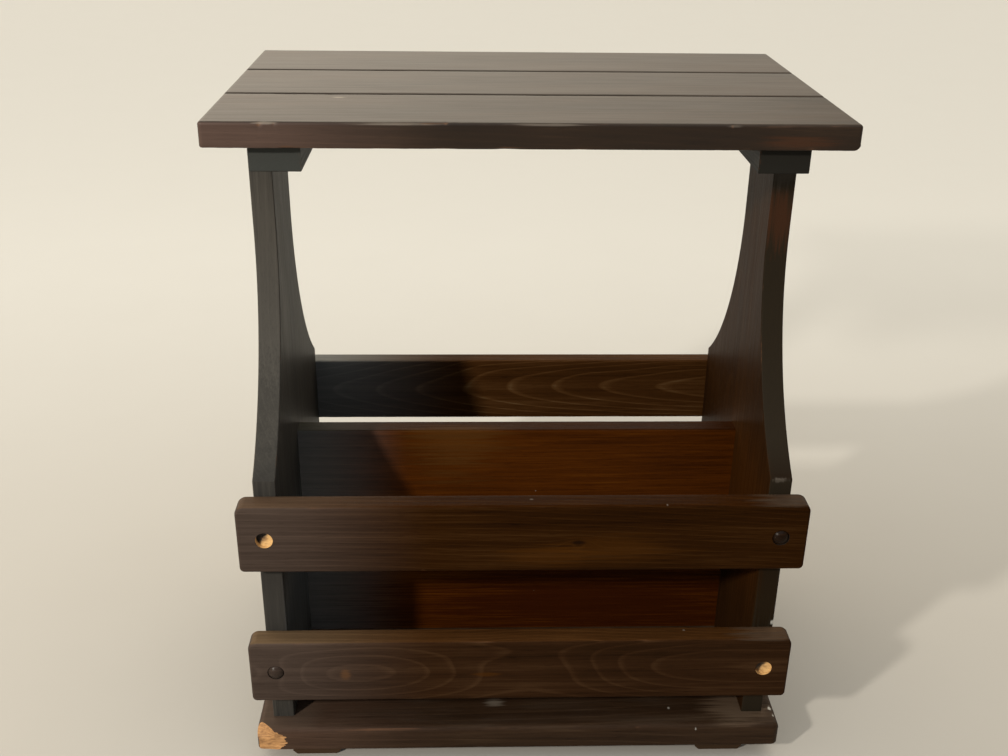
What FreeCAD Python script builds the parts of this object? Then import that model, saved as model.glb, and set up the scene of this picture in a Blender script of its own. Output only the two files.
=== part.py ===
"""Magazine table with rack: two shaped side panels stand on a base board and carry a top of three
boards. A divider and four slats make a magazine pocket in front and another behind.

Sizes are in millimetres. The origin is on the floor under the middle of the table, with +X to the
right, +Y to the back and +Z up.
"""
import FreeCAD, Part
import math
import os
import re
import Sketcher

SIZES = {
    # Length that the top, the slats and the base share
    "table_length": 400,
    # Top: three boards side by side, rounded round the outside and bevelled at the joints
    "top_thickness": 16,
    "top_overhang": 10.3,
    "top_board_gap": 0.8,
    "top_corner_radius": 2.5,
    "top_edge_radius": 2,
    "top_bevel": 1.2,
    # Battens that hold the boards together and tie them to the panels' necks, as long as the panels are deep
    "batten_width": 32,
    "batten_thickness": 17,
    "batten_bevel": 1,
    # Side panels, set back from the table's ends: heights are measured from the base board
    "panel_setback": 11,
    "panel_thickness": 16,
    "panel_depth": 231.5,
    "panel_height": 444,
    "panel_bevel": 1,
    "shoulder_height": 208,
    "neck_length": 81.5,
    "neck_width": 70,
    # Divider between the two pockets
    "divider_height": 191,
    "divider_thickness": 16,
    "divider_edge_radius": 1.5,
    # Slats on the panels' front and back edges: a rise is from the base board to the lower slat's middle
    "slat_thickness": 16,
    "slat_gap": 61.5,
    "slat_corner_radius": 4,
    "slat_face_radius": 2,
    "slat_bevel": 1.5,
    "front_slat_height": 53.5,
    "front_slat_rise": 55,
    "back_slat_height": 56,
    "back_slat_rise": 49.5,
    # Base board: its depth follows the panels and the slats
    "base_thickness": 19,
    "base_corner_radius": 4,
    "base_edge_radius": 5,
    "base_bevel": 1,
    # Feet: battens under the base, set back from its edges, with bevelled lower edges
    "foot_setback": 12,
    "foot_width": 36.5,
    "foot_thickness": 15,
    "foot_bevel": 3,
    # Domed plugs over the slat screws
    "plug_diameter": 12,
    "plug_bore_depth": 9,
    "plug_dome": 2.5,
    "plug_clearance": 0.2,
    # Wood screws: an inset is from the end of the piece that a row of screws runs along
    "screw_diameter": 4,
    "screw_head_diameter": 8,
    "screw_head_height": 2.4,
    "screw_clearance": 0.2,
    "screw_head_clearance": 0.4,
    "screw_head_recess": 0.6,
    "screw_cover": 5,
    "screw_end_room": 1,
    "slat_screw_bite": 30,
    "base_screw_bite": 26,
    "base_screw_inset": 41,
    "divider_screw_inset": 63,
    "neck_screw_inset": 16,
    "foot_screw_inset": 40,
    # Dowels between the divider and the panels
    "dowel_diameter": 8,
    "dowel_clearance": 0.2,
    "dowel_bite": 14,
    "dowel_cover": 5,
    "dowel_inset": 48,
}

# Heights and places that several pieces share
BASE_TOP = "(foot_thickness + base_thickness)"
PANEL_TOP = f"({BASE_TOP} + panel_height)"
PANEL_MIDDLE = "(table_length / 2 - panel_setback - panel_thickness / 2)"
PANEL_INNER = f"({PANEL_MIDDLE} - panel_thickness / 2)"
NECK_HEIGHT = "(panel_height - neck_length)"
BATTEN_MIDDLE = f"({PANEL_INNER} - batten_width / 2)"
BOARD_WIDTH = "((panel_depth + 2 * top_overhang - 2 * top_board_gap) / 3)"
BOARD_SPACING = f"({BOARD_WIDTH} + top_board_gap)"
SLAT_MIDDLE = "(panel_depth / 2 + slat_thickness / 2)"
SLAT_FACE = "(panel_depth / 2 + slat_thickness)"
FRONT_SLAT_STEP = "(front_slat_height + slat_gap)"
BACK_SLAT_STEP = "(back_slat_height + slat_gap)"
BASE_DEPTH = "(panel_depth + 2 * slat_thickness)"
FOOT_LENGTH = f"({BASE_DEPTH} - 2 * foot_setback)"

# Holes and fasteners that seat in each other
SHANK_HOLE = "(screw_diameter + screw_clearance)"
HEAD_HOLE = "(screw_head_diameter + screw_head_clearance)"
HEAD_DEPTH = "(screw_head_height + screw_head_recess)"
BOARD_SCREW_REACH = "(top_thickness - screw_cover)"
NECK_SCREW_REACH = "(panel_thickness - screw_cover)"
FOOT_SCREW_REACH = "(base_thickness - screw_cover)"
SLAT_SCREW_SEAT = "(slat_thickness - plug_bore_depth)"
DOWEL_HOLE = "(dowel_diameter + dowel_clearance)"
DOWEL_REACH = "(panel_thickness - dowel_cover)"
DOWEL_SPACING = "(divider_height - 2 * dowel_inset)"
BASE_SCREW_PLACE = "(panel_depth / 2 - base_screw_inset)"
DIVIDER_SCREW_PLACE = f"({PANEL_INNER} - divider_screw_inset)"
NECK_SCREW_PLACE = "(neck_width / 2 - neck_screw_inset)"
FOOT_SCREW_PLACE = f"({FOOT_LENGTH} / 2 - foot_screw_inset)"
TOUCHING = 0.001

doc = FreeCAD.newDocument("magazine_table")
sheet = doc.addObject("Spreadsheet::Sheet", "Sizes")
pieces = []


def fill_sheet():
    """One row for each driving size: its name and its value."""
    for row, (name, value) in enumerate(SIZES.items(), 1):
        sheet.set(f"A{row}", name)
        sheet.set(f"B{row}", str(value))
        sheet.setAlias(f"B{row}", name)
    doc.recompute()


def formula(text):
    """Points each size's name in a formula at its cell of the sheet."""
    return re.sub(r"[a-z_]+", lambda word: f"Sizes.{word[0]}" if word[0] in SIZES else word[0], text)


def bind(thing, target, text):
    thing.setExpression(target, formula(text))


def measure(text):
    """A formula's present value in millimetres."""
    return float(sheet.evalExpression(formula(text)))


def new_piece(label, x="0", y="0", z="0"):
    """An empty body at its place on the table."""
    body = doc.addObject("PartDesign::Body", label)
    body.Label = label
    for axis, place in zip("xyz", (x, y, z)):
        bind(body, f"Placement.Base.{axis}", place)
    pieces.append(body)
    return body


def origin_feature(body, role):
    return next(feature for feature in body.Origin.OriginFeatures if feature.Role == role)


def new_sketch(body, plane, offset=("0", "0", "0"), spin=0):
    """A sketch on one of the body's planes, moved by formulas along its own axes and spun in its plane."""
    sketch = body.newObject("Sketcher::SketchObject", f"{body.Label}_sketch")
    sketch.AttachmentSupport = [(origin_feature(body, plane), "")]
    sketch.MapMode = "FlatFace"
    turn = FreeCAD.Rotation(FreeCAD.Vector(0, 0, 1), spin)
    sketch.AttachmentOffset = FreeCAD.Placement(FreeCAD.Vector(), turn)
    for axis, distance in zip("xyz", offset):
        if distance != "0":
            bind(sketch, f"AttachmentOffset.Base.{axis}", distance)
    return sketch


def vector(point):
    return FreeCAD.Vector(measure(point[0]), measure(point[1]), 0)


def pin(sketch, edge, end, point):
    """Holds one end, or the centre, of an edge at a point given by two formulas."""
    for kind, axis, distance in (("DistanceX", -2, point[0]), ("DistanceY", -1, point[1])):
        if distance == "0":
            sketch.addConstraint(Sketcher.Constraint("PointOnObject", edge, end, axis))
        else:
            rule = Sketcher.Constraint(kind, -1, 1, edge, end, measure(distance))
            bind(sketch, f"Constraints[{sketch.addConstraint(rule)}]", distance)


def draw_outline(sketch, corners):
    """A closed outline of straight edges through the corners."""
    ends = [vector(corner) for corner in corners]
    edges = [sketch.addGeometry(Part.LineSegment(a, b), False) for a, b in zip(ends, ends[1:] + ends[:1])]
    for edge, after in zip(edges, edges[1:] + edges[:1]):
        sketch.addConstraint(Sketcher.Constraint("Coincident", edge, 2, after, 1))
    for edge, corner in zip(edges, corners):
        pin(sketch, edge, 1, corner)


def draw_circles(sketch, centres, diameter):
    for centre in centres:
        circle = Part.Circle(vector(centre), FreeCAD.Vector(0, 0, 1), measure(diameter) / 2)
        edge = sketch.addGeometry(circle, False)
        rule = Sketcher.Constraint("Diameter", edge, measure(diameter))
        bind(sketch, f"Constraints[{sketch.addConstraint(rule)}]", diameter)
        pin(sketch, edge, 3, centre)


def draw_hexagons(sketch, centres, width):
    """Six-sided outlines, as wide from corner to corner as the round thing that each stands for."""
    half, rise = f"({width}) / 4", f"({width}) * sqrt(3) / 4"
    for x, y in centres:
        right, left = f"{x} + {half}", f"{x} - {half}"
        high, low = f"{y} + {rise}", f"{y} - {rise}"
        draw_outline(sketch, [(f"{right} + {half}", y), (right, high), (left, high),
                              (f"{left} - {half}", y), (left, low), (right, low)])


def pad(body, sketch, length, one_sided=False):
    """A solid that grows from its sketch, to one side or equally to both."""
    solid = body.newObject("PartDesign::Pad", f"{body.Label}_blank")
    solid.Profile = sketch
    solid.SideType = "One side" if one_sided else "Symmetric"
    bind(solid, "Length", length)
    doc.recompute()
    return solid


def edges_on(body, side, along=None):
    """The edges that lie in one side of the body's box, all of them or those along one axis."""
    shape = body.Tip.Shape
    axis, limit = side[1], "Max" if side[0] == "+" else "Min"
    level = getattr(shape.BoundBox, f"{axis}{limit}")
    found = []
    for number, edge in enumerate(shape.Edges, 1):
        box = edge.BoundBox
        flat = all(abs(getattr(box, f"{axis}{end}") - level) < TOUCHING for end in ("Min", "Max"))
        others = [getattr(box, f"{other}Length") for other in "XYZ" if other != along]
        if flat and (along is None or max(others) < TOUCHING):
            found.append(f"Edge{number}")
    return found


def finish_edges(body, kind, target, edges, size):
    """Rounds or bevels some edges of the body's last feature."""
    feature = body.newObject(f"PartDesign::{kind}", f"{body.Label}_edges")
    feature.Base = (body.Tip if body.Tip is not feature else feature.BaseFeature, edges)
    bind(feature, target, size)
    body.Tip = feature
    doc.recompute()


def round_edges(body, edges, radius):
    finish_edges(body, "Fillet", "Radius", edges, radius)


def bevel_edges(body, edges, width):
    finish_edges(body, "Chamfer", "Size", edges, width)


def cut(body, sketch, depth=None, backwards=False):
    """Takes the sketch's outlines out of the body, to a depth or right through."""
    whole = body.Tip.Shape.Volume
    pocket = body.newObject("PartDesign::Pocket", f"{body.Label}_cut")
    pocket.Profile = sketch
    pocket.Reversed = backwards
    pocket.Type = "Length" if depth else "ThroughAll"
    if depth:
        bind(pocket, "Length", depth)
    body.Tip = pocket
    doc.recompute()
    if pocket.Shape.Volume > whole - TOUCHING:
        raise RuntimeError(f"{body.Label}: a cut points away from the wood")


def drill(body, plane, level, centres, width, depth=None, backwards=False):
    """Holes for screws and dowels, sunk from a level of one of the body's planes."""
    sketch = new_sketch(body, plane, offset=("0", "0", level))
    draw_hexagons(sketch, centres, width)
    cut(body, sketch, depth, backwards)


def drill_for_screws(body, plane, level, centres, backwards=True):
    """Holes right through the body, each with a flat-bottomed seat for a screw's head."""
    drill(body, plane, level, centres, HEAD_HOLE, depth=HEAD_DEPTH, backwards=backwards)
    drill(body, plane, level, centres, SHANK_HOLE, backwards=backwards)


def new_board(label, length, depth, height, x="0", y="0", z="0"):
    """A square-edged board, centred on its place: length along X, depth along Y, height along Z."""
    body = new_piece(label, x, y, z)
    outline = new_sketch(body, "XY_Plane")
    right, back = f"{length} / 2", f"{depth} / 2"
    left, front = f"-{right}", f"-{back}"
    draw_outline(outline, [(left, front), (right, front), (right, back), (left, back)])
    pad(body, outline, height)
    return body


def top_board(label, place, joints):
    """One of the top's boards: its joints are the long sides that meet another board."""
    middle_height = f"{PANEL_TOP} + top_thickness / 2"
    body = new_board(label, "table_length", BOARD_WIDTH, "top_thickness", y=place, z=middle_height)
    free_sides = [side for side in ("-Y", "+Y") if side not in joints]
    for side in free_sides:
        round_edges(body, edges_on(body, side, along="Z"), "top_corner_radius")
    for side in joints:
        joint_edge = [edge for edge in edges_on(body, side) if edge in edges_on(body, "+Z")]
        bevel_edges(body, joint_edge, "top_bevel")
    at_joints = [edge for edge in edges_on(body, "+Z", along="X")
                 if not any(edge in edges_on(body, side) for side in free_sides)]
    round_edges(body, [edge for edge in edges_on(body, "+Z") if edge not in at_joints], "top_edge_radius")
    bevel_edges(body, edges_on(body, "-Z"), "top_bevel")
    at_battens = [(f"-{BATTEN_MIDDLE}", "0"), (BATTEN_MIDDLE, "0")]
    drill(body, "XY_Plane", "-top_thickness / 2", at_battens, SHANK_HOLE,
          depth=f"{BOARD_SCREW_REACH} + screw_end_room", backwards=True)


def top_batten(label, side):
    """A batten under the top, screwed up into the boards and sideways into a panel's neck."""
    middle_height = f"{PANEL_TOP} - batten_thickness / 2"
    place = f"{side} * {BATTEN_MIDDLE}"
    body = new_board(label, "batten_width", "panel_depth", "batten_thickness", x=place, z=middle_height)
    bevel_edges(body, edges_on(body, "-Z"), "batten_bevel")
    under_boards = [("0", f"-{BOARD_SPACING}"), ("0", "0"), ("0", BOARD_SPACING)]
    drill_for_screws(body, "XY_Plane", "-batten_thickness / 2", under_boards)
    beside_neck = [(f"{way} * {NECK_SCREW_PLACE}", "0") for way in (-1, 1)]
    drill_for_screws(body, "YZ_Plane", f"-{side} * batten_width / 2", beside_neck, backwards=side > 0)


def draw_panel(sketch):
    """A side panel's outline: wide foot, hollow curves tangent to the neck, flat top."""
    foot, neck = "panel_depth / 2", "neck_width / 2"
    reach = measure(f"{foot} - {neck}")
    fall = measure(f"{NECK_HEIGHT} - shoulder_height")
    radius = (reach**2 + fall**2) / (2 * reach)
    sweep = math.asin(fall / radius)
    corners = {
        "foot_front": (f"-{foot}", "0"),
        "foot_back": (foot, "0"),
        "shoulder_back": (foot, "shoulder_height"),
        "neck_back": (neck, NECK_HEIGHT),
        "top_back": (neck, "panel_height"),
        "top_front": (f"-{neck}", "panel_height"),
        "neck_front": (f"-{neck}", NECK_HEIGHT),
        "shoulder_front": (f"-{foot}", "shoulder_height"),
    }

    def line(start, end):
        segment = Part.LineSegment(vector(corners[start]), vector(corners[end]))
        return sketch.addGeometry(segment, False)

    def hollow(corner, to_centre, start_angle, end_angle):
        centre = vector(corners[corner]) + FreeCAD.Vector(to_centre, 0, 0)
        circle = Part.Circle(centre, FreeCAD.Vector(0, 0, 1), radius)
        return sketch.addGeometry(Part.ArcOfCircle(circle, start_angle, end_angle), False)

    bottom = line("foot_front", "foot_back")
    back = line("foot_back", "shoulder_back")
    back_hollow = hollow("neck_back", radius, math.pi, math.pi + sweep)
    neck_back = line("neck_back", "top_back")
    top = line("top_back", "top_front")
    neck_front = line("top_front", "neck_front")
    front_hollow = hollow("neck_front", -radius, -sweep, 0)
    front = line("shoulder_front", "foot_front")
    for joint in ((bottom, 2, back, 1), (back, 2, back_hollow, 2), (neck_back, 2, top, 1),
                  (top, 2, neck_front, 1), (front_hollow, 1, front, 1), (front, 2, bottom, 1)):
        sketch.addConstraint(Sketcher.Constraint("Coincident", *joint))
    for smooth in ((back_hollow, 1, neck_back, 1), (neck_front, 2, front_hollow, 2)):
        sketch.addConstraint(Sketcher.Constraint("Tangent", *smooth))
    starts = {"foot_front": bottom, "foot_back": back, "neck_back": neck_back, "top_back": top,
              "top_front": neck_front, "shoulder_front": front}
    for corner, edge in starts.items():
        pin(sketch, edge, 1, corners[corner])
    pin(sketch, back, 2, corners["shoulder_back"])
    pin(sketch, neck_front, 2, corners["neck_front"])


def side_panel(label, side):
    """A side panel, with blind holes for the screws and dowels that meet it."""
    body = new_piece(label, x=f"{side} * {PANEL_MIDDLE}", z=BASE_TOP)
    outline = new_sketch(body, "YZ_Plane")
    draw_panel(outline)
    pad(body, outline, "panel_thickness")
    ends = edges_on(body, "+Z") + edges_on(body, "-Z")
    faces = edges_on(body, "+X") + edges_on(body, "-X")
    bevel_edges(body, [edge for edge in faces if edge not in ends], "panel_bevel")
    for edge, rise, step, backwards in (("panel_depth / 2", "front_slat_rise", FRONT_SLAT_STEP, False),
                                        ("-panel_depth / 2", "back_slat_rise", BACK_SLAT_STEP, True)):
        behind_slats = [("0", rise), ("0", f"{rise} + {step}")]
        drill(body, "XZ_Plane", edge, behind_slats, SHANK_HOLE,
              depth="slat_screw_bite + screw_end_room", backwards=backwards)
    above_base = [("0", f"{way} * {BASE_SCREW_PLACE}") for way in (-1, 1)]
    drill(body, "XY_Plane", "0", above_base, SHANK_HOLE,
          depth="base_screw_bite + screw_end_room", backwards=True)
    inner_face = f"-{side} * panel_thickness / 2"
    batten_height = "panel_height - batten_thickness / 2"
    beside_batten = [(f"{way} * {NECK_SCREW_PLACE}", batten_height) for way in (-1, 1)]
    drill(body, "YZ_Plane", inner_face, beside_batten, SHANK_HOLE,
          depth=f"{NECK_SCREW_REACH} + screw_end_room", backwards=side > 0)
    beside_divider = [("0", "dowel_inset"), ("0", f"dowel_inset + {DOWEL_SPACING}")]
    drill(body, "YZ_Plane", inner_face, beside_divider, DOWEL_HOLE,
          depth=f"{DOWEL_REACH} + dowel_clearance", backwards=side > 0)


def divider():
    """The solid board between the two pockets, dowelled to the panels and screwed to the base."""
    body = new_board("divider", f"(2 * {PANEL_INNER})", "divider_thickness", "divider_height",
                     z=f"{BASE_TOP} + divider_height / 2")
    round_edges(body, edges_on(body, "+Z", along="X"), "divider_edge_radius")
    above_base = [(f"{way} * {DIVIDER_SCREW_PLACE}", "0") for way in (-1, 1)]
    drill(body, "XY_Plane", "-divider_height / 2", above_base, SHANK_HOLE,
          depth="base_screw_bite + screw_end_room", backwards=True)
    beside_panel = [("0", f"{way} * {DOWEL_SPACING} / 2") for way in (-1, 1)]
    for side in (-1, 1):
        drill(body, "YZ_Plane", f"{side} * {PANEL_INNER}", beside_panel, DOWEL_HOLE,
              depth="dowel_bite + dowel_clearance", backwards=side < 0)


def slat(label, side, height, rise):
    """A slat across both panels' edges, rounded all round, with counterbored screw holes."""
    front = side < 0
    outer, inner = ("-Y", "+Y") if front else ("+Y", "-Y")
    body = new_board(label, "table_length", "slat_thickness", height,
                     y=f"{side} * {SLAT_MIDDLE}", z=f"{BASE_TOP} + {rise}")
    corners = edges_on(body, "+X", along="Y") + edges_on(body, "-X", along="Y")
    round_edges(body, corners, "slat_corner_radius")
    round_edges(body, edges_on(body, outer), "slat_face_radius")
    bevel_edges(body, edges_on(body, inner), "slat_bevel")
    over_panels = [(f"-{PANEL_MIDDLE}", "0"), (PANEL_MIDDLE, "0")]
    face = f"-{side} * slat_thickness / 2"
    plug_holes = new_sketch(body, "XZ_Plane", offset=("0", "0", face))
    draw_circles(plug_holes, over_panels, "plug_diameter + plug_clearance")
    cut(body, plug_holes, depth="plug_bore_depth", backwards=not front)
    drill(body, "XZ_Plane", face, over_panels, SHANK_HOLE, backwards=not front)


def base_board():
    """The board that everything stands on, rounded all round, drilled from below."""
    body = new_board("base_board", "table_length", BASE_DEPTH, "base_thickness",
                     z="foot_thickness + base_thickness / 2")
    corners = edges_on(body, "+X", along="Z") + edges_on(body, "-X", along="Z")
    round_edges(body, corners, "base_corner_radius")
    round_edges(body, edges_on(body, "+Z"), "base_edge_radius")
    bevel_edges(body, edges_on(body, "-Z"), "base_bevel")
    quarters = [(x, y) for x in (-1, 1) for y in (-1, 1)]
    under_panels = [(f"{x} * {PANEL_MIDDLE}", f"{y} * {BASE_SCREW_PLACE}") for x, y in quarters]
    under_divider = [(f"{way} * {DIVIDER_SCREW_PLACE}", "0") for way in (-1, 1)]
    drill_for_screws(body, "XY_Plane", "-base_thickness / 2", under_panels + under_divider)
    over_feet = [(f"{x} * {BATTEN_MIDDLE}", f"{y} * {FOOT_SCREW_PLACE}") for x, y in quarters]
    drill(body, "XY_Plane", "-base_thickness / 2", over_feet, SHANK_HOLE,
          depth=f"{FOOT_SCREW_REACH} + screw_end_room", backwards=True)


def foot(label, side):
    """A batten under the base, in line with the one under the top, bevelled along its lower edges."""
    body = new_board(label, "foot_width", FOOT_LENGTH, "foot_thickness",
                     x=f"{side} * {BATTEN_MIDDLE}", z="foot_thickness / 2")
    bevel_edges(body, edges_on(body, "-Z", along="Y"), "foot_bevel")
    under_base = [("0", f"{way} * {FOOT_SCREW_PLACE}") for way in (-1, 1)]
    drill_for_screws(body, "XY_Plane", "-foot_thickness / 2", under_base)


def turn(body, sketch):
    """Revolves a half outline about the sketch's upright axis."""
    solid = body.newObject("PartDesign::Revolution", f"{body.Label}_turned")
    solid.Profile = sketch
    solid.ReferenceAxis = (sketch, ["V_Axis"])
    doc.recompute()


def mirror(body, plane):
    copies = body.newObject("PartDesign::Mirrored", f"{body.Label}_mirrored")
    copies.TransformMode = "Whole shape"
    copies.MirrorPlane = (origin_feature(body, plane), [""])
    body.Tip = copies
    doc.recompute()


def repeat(body, axis, length, count):
    """Equal steps along one axis, from the first copy to the last over the given length."""
    copies = body.newObject("PartDesign::LinearPattern", f"{body.Label}_row")
    copies.TransformMode = "Whole shape"
    copies.Direction = (origin_feature(body, axis), [""])
    copies.Occurrences = count
    bind(copies, "Length", length)
    body.Tip = copies
    doc.recompute()


def screw(body, plane, place, level, length, backwards=False):
    """One screw: its head on one side of the level that it seats on, its shank on the other."""
    for width, reach, back in (("screw_diameter", length, backwards),
                               ("screw_head_diameter", "screw_head_height", not backwards)):
        sketch = new_sketch(body, plane, offset=("0", "0", level))
        draw_hexagons(sketch, [place], width)
        solid = pad(body, sketch, reach, one_sided=True)
        solid.Reversed = back
        doc.recompute()


def slat_screws(label, side, rise, step):
    """Four screws through two slats into the panels' edges, their heads at the bottom of the plug holes."""
    body = new_piece(label, z=f"{BASE_TOP} + {rise}")
    seat = f"-{side} * (panel_depth / 2 + {SLAT_SCREW_SEAT})"
    length = f"{SLAT_SCREW_SEAT} + slat_screw_bite"
    screw(body, "XZ_Plane", (PANEL_MIDDLE, "0"), seat, length, backwards=side < 0)
    repeat(body, "Z_Axis", step, 2)
    mirror(body, "YZ_Plane")


def board_screws():
    """Six screws up through the battens, one into each board at each end."""
    body = new_piece("board_screws", z=f"{PANEL_TOP} - batten_thickness")
    length = f"batten_thickness - {HEAD_DEPTH} + {BOARD_SCREW_REACH}"
    screw(body, "XY_Plane", (BATTEN_MIDDLE, f"-{BOARD_SPACING}"), HEAD_DEPTH, length)
    repeat(body, "Y_Axis", f"2 * {BOARD_SPACING}", 3)
    mirror(body, "YZ_Plane")


def neck_screws():
    """Four screws sideways through the battens into the panels' necks."""
    body = new_piece("neck_screws", z=f"{PANEL_TOP} - batten_thickness / 2")
    seat = f"{PANEL_INNER} - batten_width + {HEAD_DEPTH}"
    length = f"batten_width - {HEAD_DEPTH} + {NECK_SCREW_REACH}"
    screw(body, "YZ_Plane", (NECK_SCREW_PLACE, "0"), seat, length)
    mirror(body, "XZ_Plane")
    mirror(body, "YZ_Plane")


def base_panel_screws():
    """Four screws up through the base into the panels' ends."""
    body = new_piece("base_panel_screws", z="foot_thickness")
    length = f"base_thickness - {HEAD_DEPTH} + base_screw_bite"
    screw(body, "XY_Plane", (PANEL_MIDDLE, BASE_SCREW_PLACE), HEAD_DEPTH, length)
    mirror(body, "XZ_Plane")
    mirror(body, "YZ_Plane")


def base_divider_screws():
    """Two screws up through the base into the divider."""
    body = new_piece("base_divider_screws", z="foot_thickness")
    length = f"base_thickness - {HEAD_DEPTH} + base_screw_bite"
    screw(body, "XY_Plane", (DIVIDER_SCREW_PLACE, "0"), HEAD_DEPTH, length)
    mirror(body, "YZ_Plane")


def foot_screws():
    """Four screws up through the feet into the base."""
    body = new_piece("foot_screws")
    length = f"foot_thickness - {HEAD_DEPTH} + {FOOT_SCREW_REACH}"
    screw(body, "XY_Plane", (BATTEN_MIDDLE, FOOT_SCREW_PLACE), HEAD_DEPTH, length)
    mirror(body, "XZ_Plane")
    mirror(body, "YZ_Plane")


def divider_dowels():
    """Four dowels, two at each end of the divider."""
    body = new_piece("divider_dowels", z=f"{BASE_TOP} + dowel_inset")
    sketch = new_sketch(body, "YZ_Plane", offset=("0", "0", f"{PANEL_INNER} - dowel_bite"))
    draw_hexagons(sketch, [("0", "0")], "dowel_diameter")
    pad(body, sketch, f"dowel_bite + {DOWEL_REACH}", one_sided=True)
    repeat(body, "Z_Axis", DOWEL_SPACING, 2)
    mirror(body, "YZ_Plane")


def domed_plug(body, place, spin):
    """One plug with a domed end, from the screw's head to a little proud of the slat."""
    sketch = new_sketch(body, "XY_Plane", offset=place, spin=spin)
    radius, length = "plug_diameter / 2", "plug_bore_depth - screw_head_height - plug_clearance"
    crown = f"{length} + plug_dome"
    rim, height = measure(radius), measure("plug_dome")
    dome_radius = (rim**2 + height**2) / (2 * height)
    centre = FreeCAD.Vector(0, measure(crown) - dome_radius, 0)
    circle = Part.Circle(centre, FreeCAD.Vector(0, 0, 1), dome_radius)
    rim_angle = math.acos(rim / dome_radius)
    foot_point, side_point, rim_point, crown_point = ("0", "0"), (radius, "0"), (radius, length), ("0", crown)
    base = sketch.addGeometry(Part.LineSegment(vector(foot_point), vector(side_point)), False)
    wall = sketch.addGeometry(Part.LineSegment(vector(side_point), vector(rim_point)), False)
    dome = sketch.addGeometry(Part.ArcOfCircle(circle, rim_angle, math.pi / 2), False)
    axis = sketch.addGeometry(Part.LineSegment(vector(crown_point), vector(foot_point)), False)
    for joint in ((base, 2, wall, 1), (wall, 2, dome, 1), (dome, 2, axis, 1), (axis, 2, base, 1)):
        sketch.addConstraint(Sketcher.Constraint("Coincident", *joint))
    sketch.addConstraint(Sketcher.Constraint("PointOnObject", dome, 3, -2))
    sketch.addConstraint(Sketcher.Constraint("Coincident", base, 1, -1, 1))
    pin(sketch, wall, 1, side_point)
    pin(sketch, wall, 2, rim_point)
    pin(sketch, axis, 1, crown_point)
    turn(body, sketch)


def front_plugs():
    """The two front plugs that are left: upper right and, half a turn on, lower left."""
    body = new_piece("front_plugs", z=f"{BASE_TOP} + front_slat_rise + {FRONT_SLAT_STEP} / 2")
    inner_end = f"-({SLAT_FACE} - plug_bore_depth + screw_head_height + plug_clearance)"
    domed_plug(body, (PANEL_MIDDLE, inner_end, f"{FRONT_SLAT_STEP} / 2"), spin=180)
    copies = body.newObject("PartDesign::PolarPattern", "front_plugs_pair")
    copies.TransformMode = "Whole shape"
    copies.Axis = (origin_feature(body, "Y_Axis"), [""])
    copies.Angle = 180
    copies.Occurrences = 2
    body.Tip = copies
    doc.recompute()


def back_plugs():
    """The four back plugs."""
    body = new_piece("back_plugs", z=f"{BASE_TOP} + back_slat_rise")
    inner_end = f"{SLAT_FACE} - plug_bore_depth + screw_head_height + plug_clearance"
    domed_plug(body, (PANEL_MIDDLE, inner_end, "0"), spin=0)
    repeat(body, "Z_Axis", BACK_SLAT_STEP, 2)
    mirror(body, "YZ_Plane")


def build_table():
    top_board("top_board_front", f"-{BOARD_SPACING}", joints=["+Y"])
    top_board("top_board_middle", "0", joints=["-Y", "+Y"])
    top_board("top_board_back", BOARD_SPACING, joints=["-Y"])
    for name, side in (("left", -1), ("right", 1)):
        top_batten(f"top_batten_{name}", side)
        side_panel(f"side_panel_{name}", side)
        foot(f"foot_{name}", side)
    divider()
    for name, side, step in (("front", -1, FRONT_SLAT_STEP), ("back", 1, BACK_SLAT_STEP)):
        rise = f"{name}_slat_rise"
        slat(f"{name}_slat_lower", side, f"{name}_slat_height", rise)
        slat(f"{name}_slat_upper", side, f"{name}_slat_height", f"{rise} + {step}")
        slat_screws(f"{name}_slat_screws", side, rise, step)
    base_board()
    board_screws()
    neck_screws()
    base_panel_screws()
    base_divider_screws()
    foot_screws()
    divider_dowels()
    front_plugs()
    back_plugs()


def write_pieces():
    """Checks that every object is sound, then writes each piece to its own file."""
    doc.recompute()
    faults = [thing.Name for thing in doc.Objects if {"Invalid", "Error"} & set(thing.State)]
    faults += [body.Label for body in pieces if body.Shape.isNull() or not body.Shape.isValid()]
    if faults:
        raise RuntimeError("unsound: " + ", ".join(faults))
    os.makedirs("parts", exist_ok=True)
    for body in pieces:
        body.Shape.exportStep(f"parts/{body.Label}.step")
        box = body.Shape.BoundBox
        print(f"{body.Label}: {len(body.Shape.Solids)} solid(s), {body.Shape.Volume / 1000:.1f} cm3,",
              f"{box.XLength:.1f} x {box.YLength:.1f} x {box.ZLength:.1f} mm")


fill_sheet()
build_table()
write_pieces()
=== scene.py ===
# %% [markdown]
# # A magazine table in dark stained wood
# The table is a small side table with a rack underneath: a plank top on two curved panels, with
# slats and a divider that make two magazine pockets. Its solids are already measured and packed.
# This lesson loads them as a fixed frame and dresses each one: rounded and knocked edges, wood that
# was sawn from a log, a stain that has worn, plugs, screws and a broken corner.

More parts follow.
